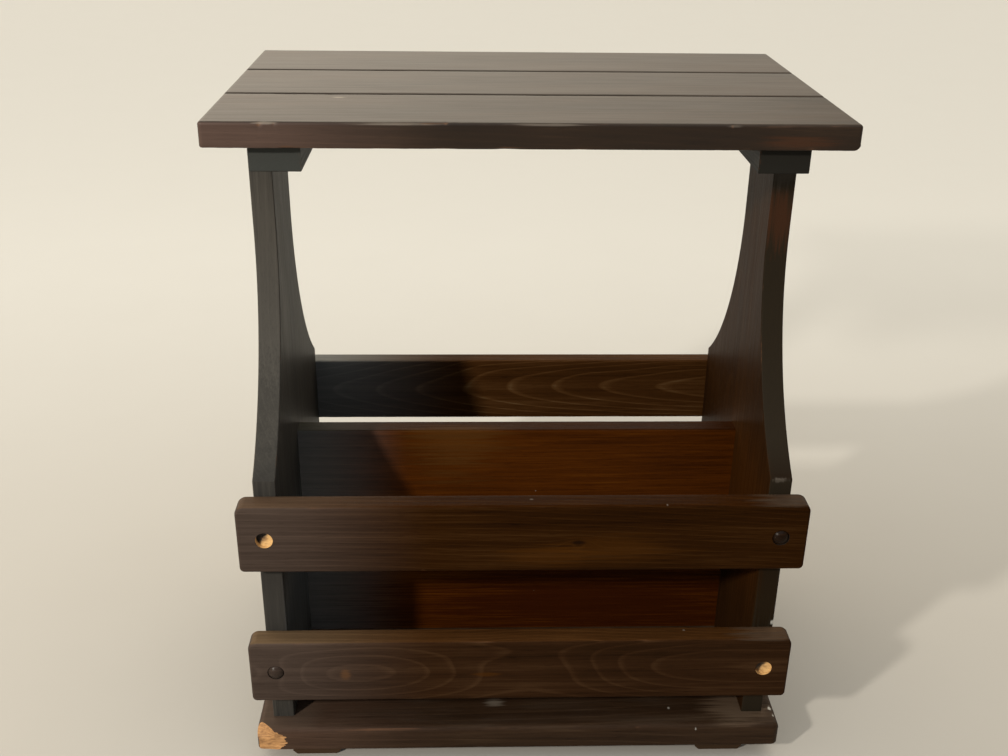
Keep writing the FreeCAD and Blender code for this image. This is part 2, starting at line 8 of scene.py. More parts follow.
# %% Load the measured frame
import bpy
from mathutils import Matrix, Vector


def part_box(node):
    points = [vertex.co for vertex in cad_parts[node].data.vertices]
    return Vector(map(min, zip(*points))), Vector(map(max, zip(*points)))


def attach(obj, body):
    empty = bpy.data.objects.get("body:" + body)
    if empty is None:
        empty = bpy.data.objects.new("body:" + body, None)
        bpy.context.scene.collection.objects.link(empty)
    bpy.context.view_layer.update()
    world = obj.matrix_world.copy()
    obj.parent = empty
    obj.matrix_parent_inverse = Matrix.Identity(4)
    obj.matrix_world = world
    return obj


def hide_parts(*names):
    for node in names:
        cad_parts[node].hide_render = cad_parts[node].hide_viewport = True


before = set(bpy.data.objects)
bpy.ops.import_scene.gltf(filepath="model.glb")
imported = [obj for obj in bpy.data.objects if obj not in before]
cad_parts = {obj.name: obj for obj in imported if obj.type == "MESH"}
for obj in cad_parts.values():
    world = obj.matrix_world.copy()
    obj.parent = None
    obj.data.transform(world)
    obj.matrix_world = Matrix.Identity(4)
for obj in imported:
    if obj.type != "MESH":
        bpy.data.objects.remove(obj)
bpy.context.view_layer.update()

# %% [markdown]
# The rest of the lesson needs Blender's own modules. Sizes are in metres, as in Blender, and MM turns
# millimetres into metres, because a joiner thinks in millimetres. The three axes and the six ways a
# face can look get names too, so that a board's edges can be asked for by the faces they lie between.

# %% Tools
import math

import bmesh
import bpy
from mathutils import Matrix, Vector, noise

scene = bpy.context.scene
MM = 0.001
X, Y, Z = range(3)
LEFT, RIGHT = Vector((-1, 0, 0)), Vector((1, 0, 0))
FRONT, BACK = Vector((0, -1, 0)), Vector((0, 1, 0))
DOWN, UP = Vector((0, 0, -1)), Vector((0, 0, 1))
ENDS, FACES = (LEFT, RIGHT), (FRONT, BACK)
SIDES, BOTH = ((LEFT, "left"), (RIGHT, "right")), (-1, 1)

# %% [markdown]
# ## The camera
# The picture was taken from a little left of the middle, a step back and above the top, looking
# down. The place and the three turns below come from fitting the table's own corners, so the camera
# needs no aiming by eye. The lens follows from the fitted focal length, in pixels of a picture 1008
# pixels wide.

# %% Camera
PICTURE_WIDTH, FOCAL_PIXELS, SENSOR = 1008, 1157.1, 36.0
EYE = Vector((-0.0391, -0.8153, 0.6501))
YAW, PITCH, ROLL = (math.radians(angle) for angle in (1.963, -25.167, 0.763))

forward = Vector((math.sin(YAW) * math.cos(PITCH), math.cos(YAW) * math.cos(PITCH), math.sin(PITCH)))
level = Vector((math.cos(YAW), -math.sin(YAW), 0))
upright = level.cross(forward)
sideways = math.cos(ROLL) * level + math.sin(ROLL) * upright
upward = math.cos(ROLL) * upright - math.sin(ROLL) * level

camera = bpy.data.objects.new("camera", bpy.data.cameras.new("camera"))
scene.collection.objects.link(camera)
camera.data.sensor_width = SENSOR
camera.data.lens = FOCAL_PIXELS / PICTURE_WIDTH * SENSOR
camera.matrix_world = Matrix((sideways, upward, -forward)).transposed().to_4x4()
camera.location = EYE
scene.camera = camera
print("lens", round(camera.data.lens, 2), "mm")

# %% [markdown]
# ## Node helpers
# Every finish here is a small network of shader nodes. Wiring nodes one by one is long to read, so a
# node's output is held as a wire that can be added and multiplied like a number: each sum or product
# becomes a Math node.


# %% Wires
class Wire:
    """A node's output. Sums and products of wires are new nodes in the same tree."""

    def __init__(self, socket):
        self.socket, self.tree = socket, socket.id_data

    def __add__(self, other):
        return maths("ADD", self, other)

    def __sub__(self, other):
        return maths("SUBTRACT", self, other)

    def __mul__(self, other):
        return maths("MULTIPLY", self, other)

    def __truediv__(self, other):
        return maths("DIVIDE", self, other)

    def __abs__(self):
        return maths("ABSOLUTE", self)


def node(tree, kind, sockets=(), **options):
    """Makes a node, and links each named socket to a wire or sets its value."""
    made = tree.nodes.new(f"ShaderNode{kind}")
    for name, value in options.items():
        setattr(made, name, value)
    for name, value in dict(sockets).items():
        if isinstance(value, Wire):
            tree.links.new(value.socket, made.inputs[name])
        else:
            made.inputs[name].default_value = value
    return made


def wire(tree, kind, sockets=(), out=0, **options):
    """Makes a node and hands back one of its outputs."""
    return Wire(node(tree, kind, sockets, **options).outputs[out])


# %% [markdown]
# These helpers make the kinds of node that the finishes use most: sums, smooth steps, mixes, colour
# ramps and noise. Each keeps the names of its node's sockets in one place.


# %% Node helpers
def maths(operation, first, *others, clamp=False):
    sockets = enumerate((first, *others))
    return wire(first.tree, "Math", sockets, operation=operation, use_clamp=clamp)


def vectors(operation, first, second=(0, 0, 0), out=0):
    return wire(first.tree, "VectorMath", {0: first, 1: second}, out, operation=operation)


def axes(vector):
    """The X, Y and Z of a vector."""
    return {part.name: Wire(part) for part in node(vector.tree, "SeparateXYZ", {0: vector}).outputs}


def mixed(factor, first, second, mode="MIX"):
    sockets = {0: factor, 6: first, 7: second}
    return wire(factor.tree, "Mix", sockets, out=2, data_type="RGBA", blend_type=mode)


def eased(value, low, high, to_low=0.0, to_high=1.0):
    """A smooth step from one value to another as the input goes from low to high."""
    sockets = {"Value": value, "From Min": low, "From Max": high, "To Min": to_low, "To Max": to_high}
    return wire(value.tree, "MapRange", sockets, out="Result", interpolation_type="SMOOTHSTEP")


def ramp(factor, stops):
    """Colours for the values from 0 to 1: a stop is a place and its colour."""
    made = node(factor.tree, "ValToRGB", {"Fac": factor})
    elements = made.color_ramp.elements
    while len(elements) < len(stops):
        elements.new(1.0)
    for element, (place, colour) in zip(elements, stops):
        element.position = place
        element.color = (*colour, 1)
    return Wire(made.outputs["Color"])


def cloud(space, stretch, detail=3.0, roughness=0.55):
    """Noise in a board's own coordinates: marks are finer along an axis with a larger stretch."""
    scaled = vectors("MULTIPLY", space, stretch)
    sockets = {"Vector": scaled, "Scale": 1.0, "Detail": detail, "Roughness": roughness}
    return wire(space.tree, "TexNoise", sockets, out="Fac")


def new_material(name):
    material = bpy.data.materials.new(name)
    material.use_nodes = True
    material.node_tree.nodes.clear()
    return material, material.node_tree


def surface(tree, **sockets):
    """The shader at the end of a finish, wired to the output."""
    names = {name.replace("_", " "): value for name, value in sockets.items()}
    node(tree, "OutputMaterial", {"Surface": wire(tree, "BsdfPrincipled", names)})


# %% [markdown]
# ## Floor
# The table stands on a plain pale floor. A flat disc is enough, as long as its rim lies far away.
# Its colour is mottled a little and grows paler towards the back, so that in the camera's view it
# runs into the room without a hard line.

# %% Floor
FLOOR_RADIUS, FLOOR_SIDES = 6.0, 96
floor_mesh = bpy.data.meshes.new("floor")
floor_bm = bmesh.new()
bmesh.ops.create_circle(floor_bm, cap_ends=True, segments=FLOOR_SIDES, radius=FLOOR_RADIUS)
floor_bm.to_mesh(floor_mesh)
floor_bm.free()
floor = bpy.data.objects.new("floor", floor_mesh)
scene.collection.objects.link(floor)

FLOOR_SWEEP, FLOOR_MOTTLE = (-0.3, 1.2), 0.08
FLOOR_NEAR, FLOOR_FAR = (0.405, 0.378, 0.337), (0.65, 0.63, 0.585)
floor_finish, tree = new_material("pale_floor")
place = wire(tree, "TexCoord", out="Object")
mottle = cloud(place, (7, 7, 7), detail=4) - 0.5
sweep = mottle * FLOOR_MOTTLE + eased(axes(place)["Y"], *FLOOR_SWEEP)
floor_colour = ramp(sweep, [(0.0, FLOOR_NEAR), (1.0, FLOOR_FAR)])
surface(tree, Base_Color=floor_colour, Roughness=0.75)
floor_mesh.materials.append(floor_finish)
print("floor", tuple(round(side, 1) for side in floor.dimensions))

# %% [markdown]
# ## Light
# One soft lamp stands to the front left, well above the top, where the table's own shadows say it
# was. A single lamp would leave the shade black, so the world around the table is a pale room:
# brighter behind than in front, which puts the grey sheen on the top. Walls could be built for
# that, but a world that is brighter one way costs no geometry and throws no shadows of its own.

# %% Lamp and room
LAMP_DISTANCE, LAMP_SIZE, LAMP_POWER = 2.0, 0.12, 33.0
LEFT_POCKET = Vector((-0.125, -0.06, 0.12))
TO_LAMP = Vector((-0.558, -0.647, 0.521))
ROOM_FRONT, ROOM_TOP, ROOM_BACK = 0.34, 1.45, 1.68
COOL_FRONT, WARM_BACK = (0.88, 0.96, 1.0, 1), (1.0, 0.885, 0.715, 1)
LAMP_COLOUR, BACKDROP = (1.0, 0.95, 0.86), (0.80, 0.755, 0.655, 1)

lamp = bpy.data.objects.new("key_lamp", bpy.data.lights.new("key_lamp", "AREA"))
lamp.data.shape = "DISK"
lamp.data.size = LAMP_SIZE
lamp.data.energy = LAMP_POWER
lamp.data.color = LAMP_COLOUR
lamp.location = LEFT_POCKET + TO_LAMP * LAMP_DISTANCE
lamp.rotation_euler = (-TO_LAMP).to_track_quat("-Z", "Y").to_euler()
scene.collection.objects.link(lamp)

room = bpy.data.worlds.new("pale_room")
room.use_nodes = True
tree = room.node_tree
tree.nodes.clear()
towards = axes(wire(tree, "TexCoord", out="Generated"))
wall = eased(towards["Y"], -0.1, 0.9, 0.0, ROOM_BACK)
wall *= eased(towards["X"], -0.3, 0.4, 1.22, 0.5)
wall *= eased(towards["Z"], 0.3, 0.6, 1.0, 0.25)
ceiling = eased(towards["Z"], 0.5, 0.95, 0.0, ROOM_TOP)
strength = maths("MAXIMUM", wall, ceiling) + ROOM_FRONT
tint = mixed(eased(towards["Y"], -0.5, 0.3), COOL_FRONT, WARM_BACK)
glow = wire(tree, "VectorMath", {0: tint, 3: strength}, operation="SCALE")
backdrop = mixed(wire(tree, "LightPath", out="Is Camera Ray"), glow, BACKDROP)
background = wire(tree, "Background", {"Color": backdrop, "Strength": 1.0})
node(tree, "OutputWorld", {"Surface": background})
scene.world = room
scene.view_settings.view_transform = "Standard"
print("lamp at", [round(value, 2) for value in lamp.location])

# %% [markdown]
# ## Wood that was sawn from a log
# A plank's figure is what is left of the tree's rings. So the finish measures, at each point of a
# board, how far that point was from the heart of its log, and colours it by where it falls between
# two rings. A board whose log leaned shows arches, a knot bends the rings round itself, and the
# ends show the rings as arcs, all without any picture. The stain is dark and takes less on the hard
# late wood, so that shows as thin paler lines.

# %% Rings
KNOT_STRETCH = 2.6


def board_space(tree, centre, order):
    """Along, across and into a board, from its middle: order names the axis for each."""
    parts = axes(vectors("SUBTRACT", wire(tree, "TexCoord", out="Object"), centre))
    along, across, into = (parts[letter] for letter in order)
    return wire(tree, "CombineXYZ", {0: along, 1: across, 2: into}), along, across, into


def knot_lift(along, across, knot):
    """How much a knot pushes the rings out, and how close its core is."""
    place_along, place_across, radius, lift = knot
    a = (along - place_along) / (KNOT_STRETCH * radius)
    b = (across - place_across) / radius
    near = maths("EXPONENT", (a * a + b * b) * -1.0)
    return near * lift, eased(near, 0.80, 0.95)


def ring_place(space, along, across, into, log):
    """Where a point lies between two rings of its log, from 0 to 1, and how near a knot's core is."""
    sway = (cloud(space, (5, 16, 16), detail=2) - 0.5) * log["sway"]
    a = across - log["heart"][0] + sway
    b = into + (along * log["lean"] + along * along * log["bow"]) - log["heart"][1]
    radius = maths("SQRT", a * a + b * b) + sway * 0.35
    core = 0.0
    for swell in log.get("swells", ()):
        radius += knot_lift(along, across, swell)[0]
    for knot in log.get("knots", ()):
        lift, heart = knot_lift(along, across, knot)
        radius += lift
        core = maths("MAXIMUM", heart, core)
    return maths("FRACT", radius / log["ring"]), core


# %% [markdown]
# Rings alone look printed. Real wood also has fibres, broad streaks, blotches and fine open pores.
# Each is one noise, drawn out along the grain by its own amount. Their weighted sum is the tone
# that picks a colour from the stain, and the same fibres raise the surface a little, so that light
# and colour agree.

# %% Grain
LATE_WOOD = [(0.0, (0.18,) * 3), (0.66, (0.30,) * 3), (0.82, (0.95,) * 3), (0.88, (0.80,) * 3),
             (0.93, (0.18,) * 3)]
USUAL_GRAIN = dict(figure=0.42, fibre=0.18, streak=0.26, patch=0.16, relief=0.3, satin=0.12)


def grain(space, ring, core, weights):
    """The wood's tone from dark to pale, its fibres, and how far each point stands up."""
    late_wood = ramp(ring, LATE_WOOD)
    fibre = eased(cloud(space, (16, 700, 700), detail=5, roughness=0.65), 0.3, 0.7)
    streak = eased(cloud(space, (4, 130, 130), detail=6, roughness=0.7), 0.3, 0.7)
    patch = eased(cloud(space, (8, 22, 22), detail=2), 0.25, 0.75)
    pore = eased(cloud(space, (75, 1500, 1500), detail=1), 0.6, 0.68)
    tone = late_wood * weights["figure"] + fibre * weights["fibre"]
    tone = tone + streak * weights["streak"] + patch * weights["patch"] - pore * 0.12
    tone = maths("SUBTRACT", tone, core * 0.45, clamp=True)
    return tone, fibre, fibre * 0.6 + late_wood * 0.3 - pore


# %% [markdown]
# Years of use change a stain: edges rub through to the worn stain and then to raw wood, joints fill
# with grime, and paint and scuffs leave marks. Some of it is painted light: paler, greyer wood towards
# the left end of the table is a painted sheen, and the joints of the top are darkened by painted shade
# as well as grime. Painting these on an image would need unwrapped boards, so each is a mask worked
# out from where a point is, which way it faces, or the wear that is stored in the mesh.

# %% Age, wear and painted light
WORN_STAIN, RAW_WOOD = (0.10, 0.048, 0.024, 1), (0.50, 0.33, 0.165, 1)
# Grime and painted shade for the joints between the top boards.
PAINT_SPECK, GRIME_AND_SHADE = (0.50, 0.47, 0.41, 1), (0.010, 0.005, 0.0025, 1)
SPECK_SCALE = 62.0


def looking(axis, low, high, most=1.0):
    """How much a face looks along an axis, either way."""
    return eased(abs(axis), low, high, 0.0, most)


def table_x(tree):
    return axes(wire(tree, "TexCoord", out="Object"))["X"]


def painted_light_colour(colour, tone, facing, painted_light, spare_top, spare_back):
    """Blends in paler wood towards one end, a painted sheen, and little of it on faces to be spared."""
    dark, pale, full, none, strength = painted_light
    amount = eased(table_x(tone.tree), none, full, 0.0, strength)
    if spare_top:
        amount *= eased(facing["Z"], 0.5, 0.95, 1.0, 0.12)
    if spare_back:
        amount *= eased(facing["Y"], 0.5, 0.1)
    return mixed(amount, colour, ramp(tone, [(0.1, dark), (0.9, pale)]))


def worn_colour(colour, space, fibre):
    """Thins the stain where the mesh is worn, darkens joints with grime and painted shade, adds paint
    specks.
    """
    edge = wire(space.tree, "Attribute", out="Fac", attribute_name="wear")
    rubbed = edge + (fibre - 0.5) * 0.35
    thin, grime_and_shade = eased(rubbed, 0.35, 0.85), eased(edge, -0.2, -0.9)
    colour = mixed(thin * 0.75, colour, WORN_STAIN)
    colour = mixed(eased(rubbed, 0.92, 1.05), colour, RAW_WOOD)
    # Grime and painted shade darken the joints.
    colour = mixed(grime_and_shade * 0.85, colour, GRIME_AND_SHADE)
    dots = node(space.tree, "TexVoronoi", {"Vector": space, "Scale": SPECK_SCALE}).outputs
    pick = wire(space.tree, "SeparateColor", {0: Wire(dots["Color"])})
    speck = eased(Wire(dots["Distance"]), 0.042, 0.02) * eased(pick, 0.95, 0.955)
    return mixed(speck * 0.3, colour, PAINT_SPECK), thin, grime_and_shade


def marked_colour(colour, fibre, marks):
    """Adds ragged marks: each is a place and its half size in millimetres, a tint and a strength."""
    for point, size, tint, strength in marks:
        place = wire(fibre.tree, "TexCoord", out="Object")
        away = vectors("SUBTRACT", place, [part * MM for part in point])
        away = vectors("MULTIPLY", away, [1 / (part * MM) for part in size])
        ragged = vectors("LENGTH", away, out="Value") + (fibre - 0.5) * 0.7
        colour = mixed(eased(ragged, 1.0, 0.3, 0.0, strength), colour, tint)
    return colour


# %% [markdown]
# The finish of a board puts these together: the stain over the grain, then painted light, age and
# wear, and last the satin lacquer. End grain drinks more stain, so it is darker and duller. The
# lacquer is one shader with little shine. Only the top, which is wiped and handled, is polished
# where it looks up.

# %% Stained wood
STAIN_STOPS = 0.0, 0.4, 0.7, 1.0
DUST = 0.13, 0.105, 0.08, 1
FIBRE_HEIGHT = 0.25 * MM


def stained_wood(name, centre, order, log, stain, gloss=0.36, shine=0.03, polish=None, dust=None,
                 marks=(), painted_light=None, paint_light_on_front=False, edge_tone=None, upper=None, dull=None):
    """A dark stain over sawn wood, in four tones from its darkest to its palest, with a satin lacquer.
    Polish is the shine of faces that look up. Painted light is a dark and pale tone of its own at one
    end of the table, a painted sheen, not on the back if asked. An edge tone is a tint for the faces
    that look along one axis, upper multiplies the colour of the edges above and below to paint light
    and shade on them, and dull says how far the polish goes down towards one end."""
    material, tree = new_material(name)
    weights = USUAL_GRAIN | log
    space, along, across, into = board_space(tree, centre, order)
    ring, core = ring_place(space, along, across, into, log)
    tone, fibre, height = grain(space, ring, core, weights)
    facing = axes(wire(tree, "NewGeometry", out="Normal"))
    colour = ramp(tone, list(zip(STAIN_STOPS, stain)))
    if edge_tone:
        axis, tint, strength = edge_tone
        colour = mixed(looking(facing[axis], 0.35, 0.65, strength), colour, tint)
    # Painted light: a paler, greyer tone towards one end of the table stands in for a sheen.
    if painted_light:
        colour = painted_light_colour(colour, tone, facing, painted_light, polish, paint_light_on_front)
    # Painted light and shade: the colour of faces that look up and down is scaled, lighter on the slats
    # and darker on the divider.
    if upper:
        colour = mixed(looking(facing["Z"], 0.5, 0.9), colour, upper, "MULTIPLY")
    end_grain = looking(facing[order[0]], 0.7, 0.9)
    colour = mixed(end_grain * 0.88, colour, (*stain[0], 1))
    colour, thin, grime_and_shade = worn_colour(colour, space, fibre)
    colour = marked_colour(colour, fibre, marks)
    rough = fibre * weights["satin"] + gloss
    if dust:
        lies = eased(facing["Z"], 0.75, 0.95) * dust(space, along, across)
        colour = mixed(lies, colour, DUST)
        rough += lies * 0.35
    rough = rough + thin * 0.15 + grime_and_shade * 0.5
    height *= eased(end_grain, 0.0, 1.0, 1.0, 0.15)
    raised = {"Height": height, "Strength": weights["relief"], "Distance": FIBRE_HEIGHT}
    if dull:
        start, end, least = dull
        polish = eased(table_x(tree), start, end, polish, polish * least)
    if polish:
        shine = eased(facing["Z"], 0.72, 0.98, shine, polish)
    surface(tree, Base_Color=colour, Roughness=rough, Specular_IOR_Level=shine,
            Normal=wire(tree, "Bump", raised))
    return material


# %% [markdown]
# Where the stain is gone altogether, on the two broken plugs and on the broken corner of the base,
# the wood underneath is pale and dull, with the same fibres. It could be a lighter stain, but raw
# wood has no lacquer and no rings worth showing on so small a patch, so it gets a shorter recipe.

# %% Bare wood
# Painted shade for the deep part of a broken plug's hole.
HOLE_SHADE = 0.022, 0.016, 0.013, 1


def bare_wood(name, centre, order, pale=(0.66, 0.45, 0.22), deep=(0.42, 0.25, 0.10), painted_shade=None):
    """Wood without stain. Painted shade darkens a hole, from its start to its full depth on the third
    axis.
    """
    material, tree = new_material(name)
    space, *_, into = board_space(tree, centre, order)
    fibre = cloud(space, (30, 700, 700), detail=4, roughness=0.65)
    tone = cloud(space, (160, 260, 260), detail=3) * 0.6 + fibre * 0.55
    colour = ramp(tone, [(0.38, deep), (0.58, pale), (0.8, [1.25 * part for part in pale])])
    if painted_shade:
        colour = mixed(eased(into, *painted_shade), colour, HOLE_SHADE)
    bump = wire(tree, "Bump", {"Height": fibre, "Strength": 0.6, "Distance": 0.4 * MM})
    surface(tree, Base_Color=colour, Roughness=0.78, Normal=bump)
    return material


# %% [markdown]
# ## Sawing, rounding and wearing a board
# A board starts as a block, and a router rounds some of its edges. In mesh code that is a bevel on
# the edges between chosen faces. A bevel modifier could do it too, but the edges for each
# radius would first have to be marked on the mesh.

# %% Saw and round
SAME_WAY = 0.99


def middle(low, high):
    return (Vector(low) + Vector(high)) / 2


def sawn_block(low, high):
    bm = bmesh.new()
    bmesh.ops.create_cube(bm, size=1)
    for vert in bm.verts:
        vert.co = [low[i] + (vert.co[i] + 0.5) * (high[i] - low[i]) for i in range(3)]
    bm.normal_update()
    return bm


def meets(edge, direction):
    return any(face.normal.dot(direction) > SAME_WAY for face in edge.link_faces)


def edges_of(bm, *groups):
    """The edges that touch, for each group of ways, a face that looks one of those ways."""
    return [edge for edge in bm.edges if all(any(meets(edge, way) for way in ways) for ways in groups)]


def round_over(bm, edges, radius, steps):
    bmesh.ops.bevel(bm, geom=edges, offset=radius, offset_type="OFFSET", segments=steps,
                    profile=0.5, affect="EDGES")
    bm.normal_update()


# %% [markdown]
# Slices along a board give its edges points to move, so that knocks and rubbing can dent them a
# little. The same step writes how worn each point is into an attribute called wear, which the stain
# reads. Edges could be sculpted by hand, but this way every board gets its own wear from a seed.

# %% Wear
# The first value is the band along a joint that is darkened, with grime and painted shade.
JOINT_DIRT_AND_SHADE, COARSE_WEAR, FINE_WEAR = 1.6 * MM, 38, 150


def slice_along(bm, axis, low, high, step, knocks=(), margin=4 * MM):
    """Slices a board evenly, finely where it was knocked, and once inside each edge."""
    length = high[axis] - low[axis]
    count = int(length / step)
    cuts = [(axis, low[axis] + length * number / count) for number in range(1, count)]
    cuts += [(axis, place[axis] + size * offset / 4)
             for place, size, deep in knocks for offset in range(-7, 8)]
    cuts += [(side, edge) for side in range(3) for edge in (low[side] + margin, high[side] - margin)]
    for side, cut in sorted(cuts):
        normal = Vector([float(i == side) for i in range(3)])
        everything = bm.verts[:] + bm.edges[:] + bm.faces[:]
        bmesh.ops.bisect_plane(bm, geom=everything, plane_co=normal * cut, plane_no=normal)
    bm.normal_update()


def wear_edges(bm, low, high, reach, dent, seed, knocks=(), joints=()):
    """Dents a board's edges and writes how worn each point is. A knock is a place, a size and a depth.
    Joint sides are dark with grime and painted shade instead of worn."""
    layer = bm.verts.layers.float.new("wear")
    joint_depth = (high.y - low.y) / 2 - JOINT_DIRT_AND_SHADE
    moves = []
    for vert in bm.verts:
        gaps = sorted(min(vert.co[i] - low[i], high[i] - vert.co[i]) for i in range(3))
        near = max(0.0, 1 - gaps[1] / reach)
        coarse = noise.noise(vert.co * COARSE_WEAR + Vector((seed, 0, 0)))
        fine = noise.noise(vert.co * FINE_WEAR + Vector((0, seed, 0)))
        rub = near**0.6 * max(0.0, 0.36 + 0.5 * coarse + 0.3 * fine)
        depth = near * max(0.0, coarse + 0.5 * fine - 0.1) * dent
        for place, size, deep in knocks:
            hit = math.exp(-((vert.co - Vector(place)).length / size) ** 2) * (0.7 + 0.6 * fine)
            depth += max(0.0, hit) * deep
            rub += max(0.0, hit) * 0.7 * min(1.0, near * 3)
        # Joint sides get -1, which the stain turns into grime and painted shade.
        inside = any((vert.co - middle(low, high)).dot(side) > joint_depth for side in joints)
        vert[layer] = -1.0 if inside else min(rub, 1.2)
        moves.append((vert, vert.normal * depth))
    for vert, move in moves:
        vert.co -= move


# %% [markdown]
# A mesh becomes a piece when it gets an object and a finish. Holes and breaks are cut with a boolean
# modifier, because it also carries the cutter's finish over to the cut. Last, each piece takes the
# place of its measured node.

# %% Pieces
SHARP_ANGLE = math.radians(35)


def as_piece(name, bm, material):
    """Turns a mesh's faces outward and makes it an object with one finish."""
    bmesh.ops.recalc_face_normals(bm, faces=bm.faces[:])
    mesh = bpy.data.meshes.new(name)
    bm.to_mesh(mesh)
    bm.free()
    mesh.materials.append(material)
    piece = bpy.data.objects.new(name, mesh)
    scene.collection.objects.link(piece)
    return piece


def carve(piece, cutter):
    """Cuts one piece with another, and keeps the cutter's finish on the cut."""
    cut = piece.modifiers.new("cut", "BOOLEAN")
    cut.operation = "DIFFERENCE"
    cut.solver = "EXACT"
    cut.material_mode = "TRANSFER"
    cut.object = cutter
    bpy.context.view_layer.update()
    whole = piece.evaluated_get(bpy.context.evaluated_depsgraph_get())
    carved = bpy.data.meshes.new_from_object(whole)
    piece.modifiers.remove(cut)
    old = piece.data
    piece.data = carved
    bpy.data.meshes.remove(old)
    bpy.data.meshes.remove(cutter.data)


def settle(piece, node_name):
    """Smooths a piece's shading and puts it in the place of its measured node."""
    piece.data.shade_smooth()
    piece.data.set_sharp_from_angle(angle=SHARP_ANGLE)
    even = piece.modifiers.new("even_shading", "WEIGHTED_NORMAL")
    even.keep_sharp = True
    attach(piece, "root")
    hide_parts(node_name)
    print(piece.name, "for", node_name, len(piece.data.vertices), "points")


# %% [markdown]
# Holes are cut with a turned tool: a profile of radius and height, spun round an axis. A ready-made
# cylinder would do for the holes, but the same helper later turns the plugs and the screws.

# %% Turning
ROUND_SIDES = 40


def turned(bm, profile, steps, matrix):
    """Spins a profile of (radius, height) points about the Z axis of a placing matrix."""
    rings = []
    for radius, height in profile:
        if radius < 1e-9:
            rings.append([bm.verts.new(matrix @ Vector((0, 0, height)))])
            continue
        angles = [math.tau * step / steps for step in range(steps)]
        points = [Vector((radius * math.cos(a), radius * math.sin(a), height)) for a in angles]
        rings.append([bm.verts.new(matrix @ point) for point in points])
    for lower, upper in zip(rings, rings[1:]):
        for step in range(steps):
            after = (step + 1) % steps
            corners = [lower[step % len(lower)], lower[after % len(lower)],
                       upper[after % len(upper)], upper[step % len(upper)]]
            corners = list(dict.fromkeys(corners))
            if len(corners) > 2:
                bm.faces.new(corners)


def placing(point, axis):
    """A matrix that puts a turned piece at a point with its Z axis along the given one."""
    return Matrix.Translation(point) @ axis.to_track_quat("Z", "Y").to_matrix().to_4x4()


def drilled(piece, points, axis, radius, depth, finish, steps=ROUND_SIDES):
    """Sinks flat-bottomed holes from points on a face: the axis points out of the wood."""
    profile = [(0, -depth), (radius, -depth), (radius, depth), (0, depth)]
    bm = bmesh.new()
    for point in points:
        turned(bm, profile, steps, placing(point, axis))
    carve(piece, as_piece("drill", bm, finish))


# %% [markdown]
# ## The top
# Three boards lie side by side with a narrow V groove at each joint. The router went round the
# outside only. All three share a stain, but each came from its own log, gets its own amount of
# painted sheen towards the left end and its own polish, and has its own marks. Tables keep these
# apart from the making.

# %% Looks of the top
TOP_STAIN = [(0.006, 0.003, 0.0015), (0.018, 0.009, 0.004), (0.036, 0.018, 0.008),
             (0.075, 0.041, 0.022)]
TOP_LOGS = {
    "front": dict(heart=(0.010, -0.085), lean=0.05, bow=0.10, sway=0.010, ring=0.0042),
    "middle": dict(heart=(-0.025, -0.060), lean=-0.04, bow=0.05, sway=0.012, ring=0.0048),
    "back": dict(heart=(0.030, -0.070), lean=0.03, bow=-0.08, sway=0.010, ring=0.0045),
}
TOP_GRAIN = dict(figure=0.14, fibre=0.10, streak=0.18, patch=0.30, relief=0.06, satin=0.07)
# Painted sheen: paler, greyer wood towards the left end, mostly on the edges of the boards.
TOP_SHEEN = (0.070, 0.042, 0.032), (0.130, 0.078, 0.060), -0.2, -0.04
TOP_EDGE = "Y", (0.034, 0.0245, 0.0185, 1), 0.27
ORANGE_STAIN, SCUFF, PIT = (0.110, 0.032, 0.008, 1), (0.24, 0.20, 0.16, 1), (0.010, 0.007, 0.005, 1)
TOP_LOOKS = {
    "front": dict(polish=0.280, painted_light=(*TOP_SHEEN, 0.85), dull=(0.11, 0.21, 0.52), marks=[
        ((162, -126, 483.2), (28, 4, 5), ORANGE_STAIN, 0.24),
        ((-123, -54, 494), (6, 3, 2), SCUFF, 0.6),
        ((-160, -125.5, 493.2), (8, 3, 0.9), SCUFF, 0.5),
        ((-85, -125.5, 493), (30, 3, 1), SCUFF, 0.45),
        ((10, -125.5, 493), (30, 3, 0.9), SCUFF, 0.35),
        ((122, -125.5, 492.8), (6, 3, 1), SCUFF, 0.2)]),
    "middle": dict(polish=0.305, painted_light=(*TOP_SHEEN, 0.5), marks=[
        ((-120, 5, 494), (1.2, 3, 1), PIT, 0.8)]),
    "back": dict(polish=0.315, painted_light=(*TOP_SHEEN, 0.5)),
}
print("looks for the top boards", *TOP_LOOKS)

# %% [markdown]
# Each board knows which of its long sides are free. Those are rounded, and the joints are bevelled.
# The order matters, because a bevel finds its edges by the faces that are still flat. The front edge
# has been knocked most: two chips and a rubbed stretch show on its left half.

# %% Top boards
FREE_SIDES = {"front": [FRONT], "middle": [], "back": [BACK]}
EDGE_KNOCKS = [((-0.1635, -0.1256, 0.4925), 0.0016, 0.0008),
               ((-0.1545, -0.1256, 0.4928), 0.0012, 0.0006),
               ((-0.052, -0.1250, 0.4935), 0.0012, 0.0004),
               ((0.120, -0.1256, 0.4928), 0.0010, 0.0003)]
FRONT_WEAR, OTHER_WEAR = (3 * MM, 0.7 * MM, EDGE_KNOCKS), (6 * MM, 0.35 * MM, ())
LOW_CORNER, END_CORNER, TOP_ROUND, LOWER_EASE = 5.5 * MM, 2.5 * MM, 2 * MM, 1.2 * MM
GROOVE_BEVEL, GROOVE_REACH, TOP_RUB = 2.1 * MM, 2.05 * MM, 3 * MM

